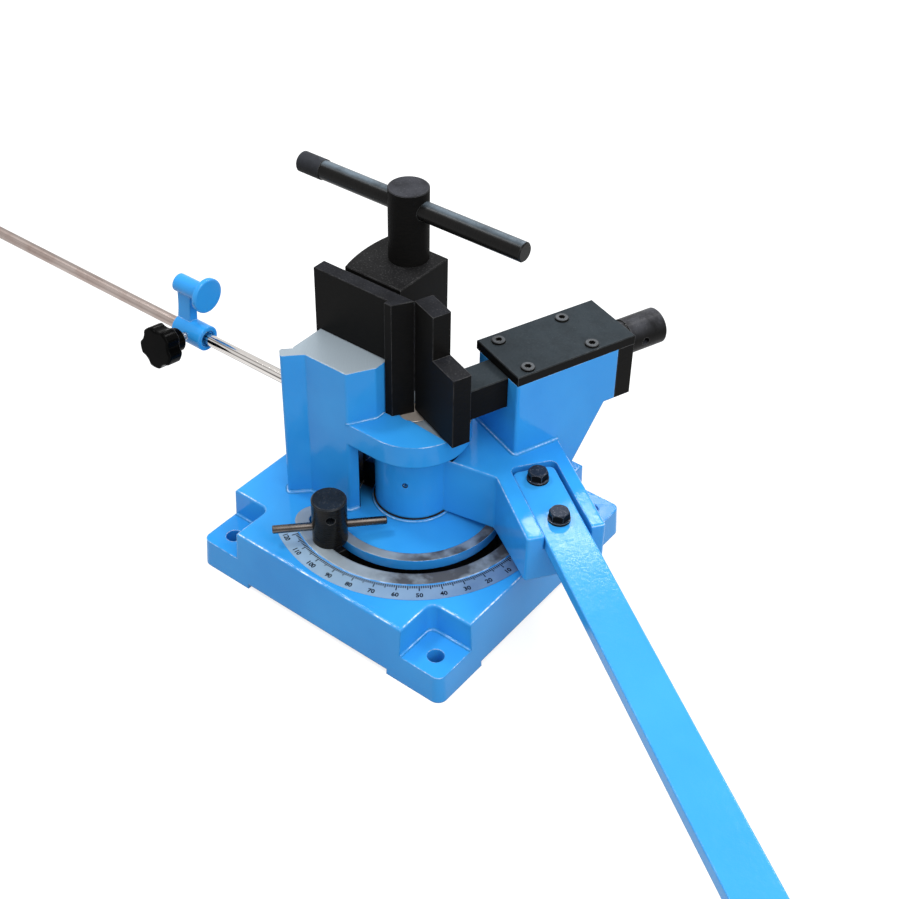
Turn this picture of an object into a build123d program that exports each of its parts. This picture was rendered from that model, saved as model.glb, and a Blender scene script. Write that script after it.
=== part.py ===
from build123d import *
from math import cos, radians, sin, sqrt, tan
import os

# Universal bar bender. Millimetres. The origin is on the swing pivot at floor level.
# X runs along the bar that is clamped, Y points away from the operator, Z is up.

# Base casting
BASE_SIDE = 300.0
BASE_CORNER = 10.0
BASE_HEIGHT = 63.0
SIDE_DRAFT = 3.5
FOOT_HEIGHT = 30.5
FOOT_LENGTH = 62.6
FOOT_RELIEF = 5.7
RECESS_SIDE = 48.6
RECESS_CORNER = 8.0
BASE_WALL = 11.0
TOP_WALL = 11.0
EDGE_ROUND = 3.0
HOLE_INSET = 23.5
HOLE_DIA = 16.0
PIN_BOSS_RADIUS = 32.0
RING_WALL = 9.0
RIB_WALL = 9.0

# Annular slot, its machined pads and the degree scale
SLOT_RADIUS = 98.5
SLOT_WIDTH = 17.0
SLOT_FIRST = -122.5
SLOT_LAST = 22.0
PAD_RISE = 1.0
PAD_INNER_WIDTH = 10.0
PAD_OUTER_WIDTH = 13.6
SCALE_GAP = 1.6
SCALE_WIDTH = 18.0
SCALE_THICK = 0.6
SCALE_FIRST = -123.0
SCALE_LAST = 6.0

# Column, table and rear support
TONGUE_RADIUS = 55.0
TABLE_THICK = 24.0
TABLE_RIGHT = -15.0
TABLE_BACK = 84.0
SEAT_DEPTH = 1.0
SEAT_FRONT = -12.5
SEAT_RUN = 4.5
COLUMN_LEFT = -102.0
COLUMN_RIGHT = -21.0
COLUMN_ABOVE = 58.0
CHAMFER_X = 15.0
CHAMFER_Y = 25.0
COLUMN_ROUND = 3.0
GUSSET_X = -93.5
GUSSET_REACH = 17.7
GUSSET_THICK = 11.3
SUPPORT_RIGHT = -74.0

# Swing pivot
PIN_DIA = 30.0
PIN_CHAMFER = 1.0
BUSH_WALL = 3.0
BUSH_LENGTH = 32.0
HUB_RADIUS = 38.5
HUB_HEIGHT = 76.0
BOSS_RISE = 5.0
BOSS_TOP_RADIUS = 44.0
LOWER_WASHER = 3.0
LOWER_WASHER_RADIUS = 40.0
UPPER_WASHER = 1.0
UPPER_WASHER_RADIUS = 36.0
OIL_HOLE_DIA = 5.0
OIL_HOLE_HEIGHT = 40.5
OIL_HOLE_TURN = -44.0

# Swing arm casting, drawn at a bend of nought and then turned to the rest bend
REST_BEND = 20.5
ARM_DEPTH = 64.0
BOX_LEFT = -1.0
BOX_WIDTH = 67.0
BOX_FRONT = 71.0
BOX_LENGTH = 114.5
BOX_HEEL = 12.0
BOX_TOE = 126.0
WEB_BACK_W = -36.0
WEB_BACK_U = 12.0
FLANK_HUB_W = 37.0
FLANK_HUB_U = 10.5
BRACKET_INNER = 59.0
BRACKET_WIDTH = 75.0
BRACKET_START = 70.6
BRACKET_END = 159.0
BRACKET_RISE = 14.0
ARM_ROUND = 3.0
RIM_ROUND = 2.5
FLANK_ROUND = 5.0

# Hand lever
LEVER_TURN = 15.0
LEVER_WIDTH = 41.4
LEVER_THICK = 12.5
LEVER_START = 65.0
LEVER_LENGTH = 535.0
LEVER_ROUND = 7.0
LEVER_CHAMFER = 0.8
LEVER_CENTRE = 97.0
LEVER_DROP = 3.5
LEVER_SLOT_LEFT = 1.3
LEVER_SLOT_RIGHT = 2.6
LEVER_SLOT_END = 3.0
LEVER_BOLT_INSET = 15.0
LEVER_BOLT_PITCH = 57.5
LEVER_BOLT_DIA = 10.0
LEVER_BOLT_HEAD = 17.0
LEVER_BOLT_HEAD_HEIGHT = 8.0
LEVER_BOLT_REACH = 22.0
LEVER_WASHER_DIA = 21.0
LEVER_WASHER_THICK = 2.5

# Ram, stepped die, cover and screw
RAM_SIDE = 34.0
RAM_CHAMFER = 0.8
RAM_CENTRE = 32.7
RAM_LIFT = 8.0
RAM_TAIL = 145.0
RAM_TRAVEL = 30.0
DIE_LIFT = 3.0
DIE_THICK = 19.0
DIE_SETBACK = 0.4
DIE_WIDTH = 67.0
DIE_TOP_WIDTH = 31.4
DIE_STEP = 76.0
DIE_CHAMFER = 0.4
DIE_STUD_DIA = 12.0
DIE_STUD_GRIP = 11.0
DIE_STUD_REACH = 25.0
DIE_DOWEL_DIA = 6.0
DIE_DOWEL_LENGTH = 20.0
DIE_DOWEL_PITCH = 22.0
COVER_THICK = 10.0
COVER_OVERHANG = 3.2
COVER_CHAMFER = 0.8
END_PLATE_THICK = 19.0
END_PLATE_DROP = 57.5
SCREW_DIA = 20.0
SCREW_TIP = 95.0
SCREW_NECK_DIA = 33.0
SCREW_NECK = 12.0
SCREW_HEAD_DIA = 36.0
SCREW_HEAD = 42.0
SCREW_HEAD_CHAMFER = 1.5
SCREW_HEAD_HOLE = 8.0
SCREW_HOLE_INSET = 15.5
SCREW_COLLAR_DIA = 31.0
SCREW_COLLAR = 8.0
CAP_DIA = 8.0
CAP_HEAD_DIA = 13.0
CAP_HEAD = 8.0
CAP_SOCKET = 6.0
CAP_CHAMFER = 0.6
CAP_PROUD = 2.3
CAP_LENGTH = 24.0
CAP_INSET_W = 9.0
CAP_FRONT = 16.4
CAP_REAR = 25.5
END_CAP_INSET = 9.0

# Former plate and clamp
PLATE_LEFT = -107.5
PLATE_THICK = 19.0
PLATE_RELIEF = 4.5
PLATE_RELIEF_END = -19.5
PLATE_HEIGHT = 126.0
NOSE_ANGLE = 59.0
PLATE_CHAMFER = 0.5
FORMER_SCREW_DIA = 10.0
FORMER_SCREW_HEAD = 20.0
FORMER_SCREW_LENGTH = 45.0
FORMER_SCREW_X = (-85.0, -45.0)
FORMER_SCREW_LIFT = 30.0
BAR_SLIT = 5.0
BLOCK_LEFT = -86.0
BLOCK_RIGHT = -20.0
BLOCK_DEPTH = 70.0
BLOCK_BULGE = 4.0
BLOCK_CHAMFER = 0.8
KEY_X = -80.0
KEY_WIDTH = 10.0
KEY_DEPTH = 6.0
SPINDLE_X = -50.0
SPINDLE_Y = 54.0
SPINDLE_DIA = 38.8
SPINDLE_ABOVE = 75.0
SPINDLE_CHAMFER = 0.8
CAM_DIA = 30.0
CAM_THROW = 3.0
JOURNAL_DIA = 26.0
JOURNAL_LENGTH = 50.0
SPINDLE_BOSS_RADIUS = 22.0
T_BAR_DIA = 19.0
T_BAR_LENGTH = 260.0
T_BAR_DROP = 19.0
T_BAR_GRIP = 28.0
T_BAR_GRIP_DIA = 20.6
T_BAR_CHAMFER = 1.2
SPINDLE_WASHER_DIA = 38.0
SPINDLE_WASHER = 4.0
SPINDLE_SCREW_DIA = 12.0
SPINDLE_SCREW_REACH = 22.0

# Angle stop
STOP_TURN = -105.7
STOP_DIA = 34.0
STOP_HEIGHT = 49.0
STOP_BORE = 10.0
STOP_CHAMFER = 1.2
STOP_STUD_DIA = 14.0
STOP_HEAD_SIDE = 24.0
STOP_HEAD = 10.0
STOP_BAR_DIA = 8.0
STOP_BAR_LENGTH = 109.0
STOP_BAR_HEIGHT = 16.0
STOP_BAR_TURN = 46.0
STOP_BAR_CHAMFER = 0.8
STOP_SPARE_HOLE_DIA = 9.0
STOP_SPARE_HOLE_HEIGHT = 35.5

# Length stop
ROD_DIA = 12.0
ROD_Y = -46.0
ROD_LIFT = 8.0
ROD_LENGTH = 498.0
ROD_GRIP = 25.0
ROD_CHAMFER = 1.0
STOP_LEAN = 10.0
COLLAR_X = -265.0
COLLAR_LENGTH = 39.0
COLLAR_DIA = 26.0
COLLAR_MOUTH_DIA = 17.0
COLLAR_MOUTH = 3.0
COLLAR_ROUND = 1.2
FEELER_RISE = 46.3
FEELER_DIA = 19.0
FEELER_LENGTH = 35.0
FEELER_BACKSET = 4.0
FEELER_DISC_DIA = 36.0
FEELER_DISC = 6.0
FEELER_DISC_ROUND = 1.5
WEB_TOP_SHIFT = -3.0
WEB_WAIST_INSET = 0.9
WEB_WIDTH = 21.0
WEB_WAIST = 16.2
WEB_THICK = 10.0
KNOB_SHIFT = 0.7
KNOB_DIA = 43.0
KNOB_THICK = 16.0
KNOB_LOBES = 5
KNOB_SCALLOP = 14.0
KNOB_SCALLOP_DEPTH = 3.0
KNOB_LOBE_ROUND = 3.0
KNOB_TURN = 18.0
KNOB_HUB_DIA = 24.0
KNOB_HUB = 14.0
KNOB_STANDOFF = 11.0
KNOB_ROUND = 2.5
STUD_DIA = 7.0
STUD_GRIP = 20.0

# Clearances
RUN_FIT = 0.05
SLIDE_FIT = 0.1
CURVE_FIT = 0.3

# Places and heights that follow from the sizes above
HOLE_PITCH = BASE_SIDE - 2 * HOLE_INSET
BOSS_TOP = BASE_HEIGHT + BOSS_RISE
HUB_BOTTOM = BOSS_TOP + LOWER_WASHER
HUB_TOP = HUB_BOTTOM + HUB_HEIGHT
TABLE_BOTTOM = HUB_TOP + UPPER_WASHER
TABLE_TOP = TABLE_BOTTOM + TABLE_THICK
SEAT = TABLE_TOP - SEAT_DEPTH
COLUMN_TOP = TABLE_TOP + COLUMN_ABOVE
PLATE_TOP = SEAT + PLATE_HEIGHT
ARM_TOP = HUB_BOTTOM + ARM_DEPTH
DIE_BOTTOM = SEAT + DIE_LIFT
RAM_BOTTOM = DIE_BOTTOM + RAM_LIFT
RAM_AXIS = RAM_BOTTOM + RAM_SIDE / 2
BOX_TOP = RAM_BOTTOM + RAM_SIDE + SLIDE_FIT
END_PLATE_BOTTOM = BOX_TOP - END_PLATE_DROP
PAD_TOP = BASE_HEIGHT + PAD_RISE
SLOT_ROOF = BASE_HEIGHT - TOP_WALL
BLOCK_FRONT = BAR_SLIT
BLOCK_BACK = BLOCK_FRONT + BLOCK_DEPTH
BOX_BACK = BOX_FRONT + BOX_LENGTH
END_PLATE_BACK = BOX_BACK + END_PLATE_THICK
COLUMN_FRONT = -TONGUE_RADIUS
COLUMN_BACK = PLATE_RELIEF - PLATE_THICK
NOSE_RUN = PLATE_THICK / tan(radians(NOSE_ANGLE))
ROD_Z = TABLE_TOP + ROD_LIFT
LEVER_TOP = ARM_TOP - LEVER_DROP
LEVER_BOTTOM = LEVER_TOP - LEVER_THICK
JOURNAL_BOTTOM = SEAT - JOURNAL_LENGTH
T_BAR_Z = PLATE_TOP + SPINDLE_ABOVE - T_BAR_DROP

# Frames of the arm, its lever, the angle stop and the length stop
ARM = Plane.XY.rotated((0, 0, -REST_BEND))
LEVER = ARM.rotated((0, 0, -LEVER_TURN))
STOP_PLACE = (SLOT_RADIUS * cos(radians(STOP_TURN)), SLOT_RADIUS * sin(radians(STOP_TURN)))
STOP = Plane(origin=(*STOP_PLACE, PAD_TOP), x_dir=(1, 0, 0), z_dir=(0, 0, 1))
LEAN = radians(STOP_LEAN)
LENGTH_STOP = Plane(origin=(0, ROD_Y, ROD_Z), x_dir=(1, 0, 0), z_dir=(0, sin(LEAN), cos(LEAN)))


def upright_in(frame, x, y, z):
    """A level plane at a point of a turned frame, with that frame's directions."""
    return Plane(origin=frame.from_local_coords((x, y, z)), x_dir=frame.x_dir, z_dir=frame.z_dir)


def upright_along_u(w):
    """A plane across the arm at w, with u to its right and Z up."""
    return Plane(origin=ARM.from_local_coords((w, 0, 0)), x_dir=ARM.y_dir, z_dir=ARM.x_dir)


def across_u(w, u, z):
    """A plane square to the ram at a point of the arm, facing its tail."""
    return Plane(origin=ARM.from_local_coords((w, u, z)), x_dir=ARM.x_dir, z_dir=ARM.y_dir)


def across_rod(x):
    """A plane square to the stop rod at x, upright in the length stop's own lean."""
    return Plane(
        origin=LENGTH_STOP.from_local_coords((x, 0, 0)),
        x_dir=LENGTH_STOP.y_dir,
        z_dir=LENGTH_STOP.x_dir,
    )


def save(builder, name):
    """Labels a finished piece and writes its file."""
    builder.part.label = name
    export_step(builder.part, f"parts/{name}.step")


def cap_screw():
    """A socket head cap screw whose head rests at Z = 0 with its shank below."""
    with BuildPart() as screw:
        Cylinder(CAP_HEAD_DIA / 2, CAP_HEAD, align=(Align.CENTER, Align.CENTER, Align.MIN))
        Cylinder(CAP_DIA / 2, CAP_LENGTH, align=(Align.CENTER, Align.CENTER, Align.MAX))
        with BuildSketch(Plane.XY.offset(CAP_HEAD)):
            RegularPolygon(CAP_SOCKET / 2, 6, major_radius=False)
        extrude(amount=-CAP_HEAD / 2, mode=Mode.SUBTRACT)
        chamfer(screw.edges().filter_by(GeomType.CIRCLE).sort_by(Axis.Z)[-1], CAP_CHAMFER)
    return screw.part


def hex_screw(across, head, diameter, length):
    """A hexagon head screw whose head rests at Z = 0 with its shank below."""
    with BuildPart() as screw:
        with BuildSketch():
            RegularPolygon(across / 2, 6, major_radius=False)
        extrude(amount=head)
        with BuildSketch(Plane.XZ):
            with BuildLine():
                Polyline((0, 0), (across * 0.6, 0), (across * 0.6, head - across * 0.11), (across * 0.47, head),
                         (0, head), close=True)
            make_face()
        revolve(axis=Axis.Z, mode=Mode.INTERSECT)
        Cylinder(diameter / 2, length, align=(Align.CENTER, Align.CENTER, Align.MAX))
    return screw.part


os.makedirs("parts", exist_ok=True)

# Paths of the slot and of the two pads beside it
PAD_WIDTH = PAD_INNER_WIDTH + SLOT_WIDTH + PAD_OUTER_WIDTH
PAD_RADIUS = SLOT_RADIUS + (PAD_OUTER_WIDTH - PAD_INNER_WIDTH) / 2
PAD_INSIDE = PAD_RADIUS - PAD_WIDTH / 2
PAD_OUTSIDE = PAD_RADIUS + PAD_WIDTH / 2
with BuildLine() as slot_path:
    CenterArc((0, 0), SLOT_RADIUS, SLOT_FIRST, SLOT_LAST - SLOT_FIRST)
with BuildLine() as pad_path:
    CenterArc((0, 0), PAD_RADIUS, SLOT_FIRST, SLOT_LAST - SLOT_FIRST)

# Outline of the column above the table
with BuildSketch() as column_outline:
    with BuildLine():
        Polyline(
            (COLUMN_LEFT, COLUMN_BACK),
            (COLUMN_LEFT, COLUMN_FRONT),
            (COLUMN_RIGHT - CHAMFER_X, COLUMN_FRONT),
            (COLUMN_RIGHT, COLUMN_FRONT + CHAMFER_Y),
            (COLUMN_RIGHT, COLUMN_BACK),
            close=True,
        )
    make_face()
    fillet(column_outline.vertices().filter_by_position(Axis.Y, -BASE_SIDE, COLUMN_BACK - 1), COLUMN_ROUND)
    with Locations((GUSSET_X, COLUMN_FRONT)):
        RectangleRounded(2 * GUSSET_REACH, GUSSET_THICK, COLUMN_ROUND, rotation=45)

# Outline of the table, a round tongue under the nose with a straight front and a rear part for the clamp
TONGUE_MEET = sqrt(TONGUE_RADIUS**2 - TABLE_RIGHT**2)
with BuildSketch() as table_outline:
    with BuildLine():
        Polyline(
            (0, COLUMN_FRONT),
            (COLUMN_LEFT, COLUMN_FRONT),
            (COLUMN_LEFT, TABLE_BACK),
            (TABLE_RIGHT, TABLE_BACK),
            (TABLE_RIGHT, TONGUE_MEET),
        )
        ThreePointArc((TABLE_RIGHT, TONGUE_MEET), (TONGUE_RADIUS, 0), (0, COLUMN_FRONT))
    make_face()

with BuildPart() as base_casting:
    with BuildSketch():
        RectangleRounded(BASE_SIDE, BASE_SIDE, BASE_CORNER)
    extrude(amount=BASE_HEIGHT, taper=SIDE_DRAFT)
    # Low pads at the four corners
    with BuildSketch(Plane.XY.offset(FOOT_HEIGHT)):
        with GridLocations(BASE_SIDE, BASE_SIDE, 2, 2):
            RectangleRounded(2 * RECESS_SIDE, 2 * RECESS_SIDE, RECESS_CORNER)
    extrude(amount=BASE_HEIGHT, mode=Mode.SUBTRACT)
    fillet(base_casting.faces().sort_by(Axis.Z)[-1].edges(), EDGE_ROUND)
    # Feet, with the sides lifted between them
    with BuildSketch():
        Rectangle(2 * BASE_SIDE, BASE_SIDE - 2 * FOOT_LENGTH)
        Rectangle(BASE_SIDE - 2 * FOOT_LENGTH, 2 * BASE_SIDE)
    extrude(amount=FOOT_RELIEF, mode=Mode.SUBTRACT)
    # Machined pads and the raised boss under the arm's hub
    with BuildSketch(Plane.XY.offset(BASE_HEIGHT)):
        SlotArc(pad_path.edge(), PAD_WIDTH)
    extrude(amount=PAD_RISE)
    with BuildSketch(Plane.XZ):
        with BuildLine():
            Polyline(
                (0, BASE_HEIGHT),
                (PAD_INSIDE, BASE_HEIGHT),
                (BOSS_TOP_RADIUS, BOSS_TOP),
                (0, BOSS_TOP),
                close=True,
            )
        make_face()
    revolve(axis=Axis.Z)
    # Lower column and rear support, kept clear of the hub
    with BuildSketch(Plane.XY.offset(SLOT_ROOF)):
        add(column_outline.sketch)
        with BuildLine():
            Polyline(
                (COLUMN_LEFT, COLUMN_BACK),
                (COLUMN_LEFT, TABLE_BACK),
                (SUPPORT_RIGHT, TABLE_BACK),
                (SUPPORT_RIGHT, COLUMN_BACK),
                close=True,
            )
        make_face()
        Circle(TONGUE_RADIUS, mode=Mode.SUBTRACT)
    extrude(amount=TABLE_BOTTOM - SLOT_ROOF)
    # Table with its milled seat, then the column above it
    with BuildSketch(Plane.XY.offset(TABLE_BOTTOM)):
        add(table_outline.sketch)
        add(column_outline.sketch)
    extrude(amount=TABLE_THICK)
    with BuildSketch(Plane.XY.offset(SEAT)):
        with BuildLine():
            Polyline(
                (-BASE_SIDE, -PLATE_THICK),
                (-NOSE_RUN, -PLATE_THICK),
                (-NOSE_RUN + SEAT_RUN, SEAT_FRONT),
                (TONGUE_RADIUS, SEAT_FRONT - SEAT_RUN),
                (TONGUE_RADIUS, BASE_SIDE),
                (-BASE_SIDE, BASE_SIDE),
                close=True,
            )
        make_face()
    extrude(amount=TABLE_THICK, mode=Mode.SUBTRACT)
    with BuildSketch(Plane.XY.offset(SEAT)):
        add(column_outline.sketch)
    extrude(amount=COLUMN_TOP - SEAT)
    # Boss that carries the clamp spindle
    with Locations((SPINDLE_X, SPINDLE_Y, TABLE_BOTTOM)):
        Cylinder(SPINDLE_BOSS_RADIUS, TABLE_BOTTOM - JOURNAL_BOTTOM, align=(Align.CENTER, Align.CENTER, Align.MAX))
    # Hollow underside round a pin boss, a ring wall and four ribs
    ring_inside = PAD_INSIDE - RING_WALL / 2
    with BuildSketch():
        Rectangle(BASE_SIDE - 2 * BASE_WALL, BASE_SIDE - 2 * (RECESS_SIDE + BASE_WALL))
        Rectangle(BASE_SIDE - 2 * (RECESS_SIDE + BASE_WALL), BASE_SIDE - 2 * BASE_WALL)
        Circle(ring_inside + RING_WALL, mode=Mode.SUBTRACT)
        Circle(ring_inside)
        for turn in (45, 135):
            Rectangle(2 * ring_inside, RIB_WALL, rotation=turn, mode=Mode.SUBTRACT)
        Circle(PIN_BOSS_RADIUS, mode=Mode.SUBTRACT)
    extrude(amount=SLOT_ROOF, mode=Mode.SUBTRACT)
    # Annular slot
    with BuildSketch(Plane.XY.offset(SLOT_ROOF)):
        SlotArc(slot_path.edge(), SLOT_WIDTH)
    extrude(amount=TOP_WALL + PAD_RISE, mode=Mode.SUBTRACT)
    # Pin, spindle, foot and fixing holes, and the groove for the clamp block's key
    with BuildSketch():
        Circle(PIN_DIA / 2 + RUN_FIT)
        with GridLocations(HOLE_PITCH, HOLE_PITCH, 2, 2):
            Circle(HOLE_DIA / 2)
        with Locations((SPINDLE_X, SPINDLE_Y)):
            Circle(JOURNAL_DIA / 2 + RUN_FIT)
    extrude(amount=TABLE_TOP, mode=Mode.SUBTRACT)
    with Locations((KEY_X, 0, SEAT)):
        Box(
            KEY_WIDTH + 2 * SLIDE_FIT,
            BASE_SIDE,
            KEY_DEPTH + SLIDE_FIT,
            align=(Align.CENTER, Align.MIN, Align.MAX),
            mode=Mode.SUBTRACT,
        )
    with BuildSketch(Plane.XZ.offset(-COLUMN_BACK)):
        with Locations(*[(x, SEAT + FORMER_SCREW_LIFT) for x in FORMER_SCREW_X]):
            Circle(FORMER_SCREW_DIA / 2 + RUN_FIT)
    extrude(amount=FORMER_SCREW_LENGTH + COLUMN_BACK + RUN_FIT, mode=Mode.SUBTRACT)
    with BuildSketch(Plane.YZ.offset(COLUMN_LEFT)):
        with Locations((ROD_Y, ROD_Z)):
            Circle(ROD_DIA / 2 + RUN_FIT)
    extrude(amount=ROD_GRIP + RUN_FIT, mode=Mode.SUBTRACT)
save(base_casting, "base_casting")

SCALE_INSIDE = PAD_OUTSIDE + SCALE_GAP
with BuildPart() as degree_scale:
    with BuildSketch(Plane.XY.offset(BASE_HEIGHT)):
        with BuildLine():
            inner = CenterArc((0, 0), SCALE_INSIDE, SCALE_FIRST, SCALE_LAST - SCALE_FIRST)
            outer = CenterArc((0, 0), SCALE_INSIDE + SCALE_WIDTH, SCALE_FIRST, SCALE_LAST - SCALE_FIRST)
            Line(inner @ 0, outer @ 0)
            Line(inner @ 1, outer @ 1)
        make_face()
    extrude(amount=SCALE_THICK)
save(degree_scale, "degree_scale")

with BuildPart() as pivot_pin:
    with BuildSketch(Plane.XY.offset(FOOT_RELIEF)):
        Circle(PIN_DIA / 2)
    extrude(amount=SEAT - FOOT_RELIEF)
    chamfer(pivot_pin.edges().filter_by(GeomType.CIRCLE), PIN_CHAMFER)
save(pivot_pin, "pivot_pin")

BUSH_RADIUS = PIN_DIA / 2 + BUSH_WALL
for name, bottom in (("lower_bush", HUB_BOTTOM), ("upper_bush", HUB_TOP - BUSH_LENGTH)):
    with BuildPart() as bush:
        with BuildSketch(Plane.XY.offset(bottom)):
            Circle(BUSH_RADIUS)
            Circle(PIN_DIA / 2 + RUN_FIT, mode=Mode.SUBTRACT)
        extrude(amount=BUSH_LENGTH)
    save(bush, name)

for name, bottom, thick, radius in (
    ("lower_thrust_washer", BOSS_TOP, LOWER_WASHER, LOWER_WASHER_RADIUS),
    ("upper_thrust_washer", HUB_TOP, UPPER_WASHER, UPPER_WASHER_RADIUS),
):
    with BuildPart() as washer:
        with BuildSketch(Plane.XY.offset(bottom)):
            Circle(radius)
            Circle(PIN_DIA / 2 + CURVE_FIT, mode=Mode.SUBTRACT)
        extrude(amount=thick)
    save(washer, name)

# Places of the screws on the ram box
CAP_W = (BOX_LEFT + CAP_INSET_W, BOX_LEFT + BOX_WIDTH - CAP_INSET_W)
CAP_U = (BOX_FRONT + CAP_FRONT, BOX_BACK - CAP_REAR)
COVER_CAPS = [(w, u) for w in CAP_W for u in CAP_U]
END_CAPS = [(w, z) for w in CAP_W for z in (END_PLATE_BOTTOM + END_CAP_INSET, BOX_TOP - END_CAP_INSET)]
CAP_HEAD_SEAT = COVER_THICK + CAP_PROUD - CAP_HEAD
END_CAP_SEAT = END_PLATE_THICK - CAP_HEAD

with BuildPart() as swing_arm:
    with BuildSketch(Plane.XY.offset(HUB_BOTTOM)):
        Circle(HUB_RADIUS)
    extrude(amount=HUB_HEIGHT)
    # Web from the hub to the box, and the bracket for the lever
    with BuildSketch(ARM.offset(HUB_BOTTOM)) as web_outline:
        corner = [
            ARM.to_local_coords(LEVER.from_local_coords((m, n, 0)))
            for m, n in (
                (BRACKET_END, BRACKET_INNER + BRACKET_WIDTH),
                (BRACKET_END, BRACKET_INNER),
                (BRACKET_START, BRACKET_INNER),
            )
        ]
        box_right = BOX_LEFT + BOX_WIDTH
        bracket_root = corner[0].Y + (corner[0].X - box_right) * tan(radians(LEVER_TURN))
        with BuildLine():
            Polyline(
                (WEB_BACK_W, WEB_BACK_U),
                (BOX_LEFT, BOX_FRONT),
                (BOX_LEFT, BOX_TOE),
                (box_right, bracket_root),
                *[(point.X, point.Y) for point in corner],
                (FLANK_HUB_W, FLANK_HUB_U),
                close=True,
            )
        make_face()
        for place, radius in zip(corner, (ARM_ROUND, ARM_ROUND, FLANK_ROUND)):
            fillet(web_outline.vertices().sort_by_distance((place.X, place.Y, 0))[0], radius)
    extrude(amount=ARM_DEPTH)
    # The bracket's underside rises towards its end
    with BuildSketch(Plane(origin=(0, 0, 0), x_dir=LEVER.x_dir, z_dir=-LEVER.y_dir)):
        with BuildLine():
            Polyline(
                (BRACKET_START, HUB_BOTTOM),
                (BRACKET_END + ARM_ROUND, HUB_BOTTOM),
                (BRACKET_END + ARM_ROUND, HUB_BOTTOM + BRACKET_RISE),
                close=True,
            )
        make_face()
    extrude(amount=BASE_SIDE, both=True, mode=Mode.SUBTRACT)
    # Ram box on a gusset that tapers down to the web
    with BuildSketch(upright_along_u(BOX_LEFT)):
        with BuildLine():
            Polyline(
                (BOX_FRONT, HUB_BOTTOM),
                (BOX_FRONT, BOX_TOP),
                (BOX_BACK, BOX_TOP),
                (BOX_BACK, END_PLATE_BOTTOM),
                (BOX_BACK - BOX_HEEL, END_PLATE_BOTTOM),
                (BOX_TOE, HUB_BOTTOM),
                close=True,
            )
        make_face()
    extrude(amount=BOX_WIDTH)
    # Rounded front corners of the box and rounded rim of the bracket
    upright = swing_arm.edges().filter_by(Axis.Z).filter_by_position(Axis.Z, HUB_TOP, BOX_TOP)
    fillet(upright.group_by(Axis(ARM.origin, ARM.y_dir))[0], ARM_ROUND)
    level = swing_arm.edges().filter_by_position(Axis.Z, ARM_TOP - RUN_FIT, ARM_TOP + RUN_FIT)
    rim = level.filter_by_position(Axis(ARM.origin, ARM.x_dir), box_right + RUN_FIT, 2 * BRACKET_END)
    fillet(rim, RIM_ROUND)
    # Ram channel, lever slot, bores
    with BuildSketch(across_u(RAM_CENTRE, BOX_FRONT, RAM_BOTTOM)):
        Rectangle(RAM_SIDE + 2 * SLIDE_FIT, RAM_SIDE + SLIDE_FIT, align=(Align.CENTER, Align.MAX))
    extrude(amount=BOX_LENGTH, mode=Mode.SUBTRACT)
    with BuildSketch(LEVER.offset(LEVER_BOTTOM)):
        with Locations((LEVER_START - LEVER_SLOT_END, LEVER_CENTRE - LEVER_WIDTH / 2 - LEVER_SLOT_LEFT)):
            RectangleRounded(
                2 * (BRACKET_END - LEVER_START),
                LEVER_WIDTH + LEVER_SLOT_LEFT + LEVER_SLOT_RIGHT,
                LEVER_ROUND,
                align=(Align.MIN, Align.MIN),
            )
    extrude(amount=ARM_TOP - LEVER_BOTTOM, mode=Mode.SUBTRACT)
    with BuildSketch(Plane.XY.offset(HUB_BOTTOM)):
        Circle(BUSH_RADIUS)
    extrude(amount=HUB_HEIGHT, mode=Mode.SUBTRACT)
    with BuildSketch(LEVER.offset(LEVER_BOTTOM)):
        with Locations((LEVER_START + LEVER_BOLT_INSET, LEVER_CENTRE)):
            with GridLocations(LEVER_BOLT_PITCH, 1, 2, 1, align=(Align.MIN, Align.CENTER)):
                Circle(LEVER_BOLT_DIA / 2 + RUN_FIT)
    extrude(amount=-LEVER_BOLT_REACH - RUN_FIT, mode=Mode.SUBTRACT)
    with BuildSketch(ARM.offset(BOX_TOP)):
        with Locations(*COVER_CAPS):
            Circle(CAP_DIA / 2 + RUN_FIT)
    extrude(amount=CAP_HEAD_SEAT - CAP_LENGTH - RUN_FIT, mode=Mode.SUBTRACT)
    for w, z in END_CAPS:
        with BuildSketch(across_u(w, BOX_BACK, z)):
            Circle(CAP_DIA / 2 + RUN_FIT)
        extrude(amount=END_CAP_SEAT - CAP_LENGTH - RUN_FIT, mode=Mode.SUBTRACT)
    oil = ARM.rotated((0, 0, OIL_HOLE_TURN))
    with BuildSketch(Plane(origin=(0, 0, HUB_BOTTOM + OIL_HOLE_HEIGHT), x_dir=oil.y_dir, z_dir=oil.x_dir)):
        Circle(OIL_HOLE_DIA / 2)
    extrude(amount=HUB_RADIUS, mode=Mode.SUBTRACT)
save(swing_arm, "swing_arm")

with BuildPart() as lever:
    with BuildSketch(LEVER.offset(LEVER_BOTTOM)):
        with Locations((LEVER_START, LEVER_CENTRE)):
            RectangleRounded(LEVER_LENGTH, LEVER_WIDTH, LEVER_ROUND, align=(Align.MIN, Align.CENTER))
        with Locations((LEVER_START + LEVER_BOLT_INSET, LEVER_CENTRE)):
            with GridLocations(LEVER_BOLT_PITCH, 1, 2, 1, align=(Align.MIN, Align.CENTER)):
                Circle(LEVER_BOLT_DIA / 2 + CURVE_FIT, mode=Mode.SUBTRACT)
    extrude(amount=LEVER_THICK)
    chamfer(lever.faces().sort_by(Axis.Z)[-1].outer_wire().edges(), LEVER_CHAMFER)
save(lever, "lever")

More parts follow.
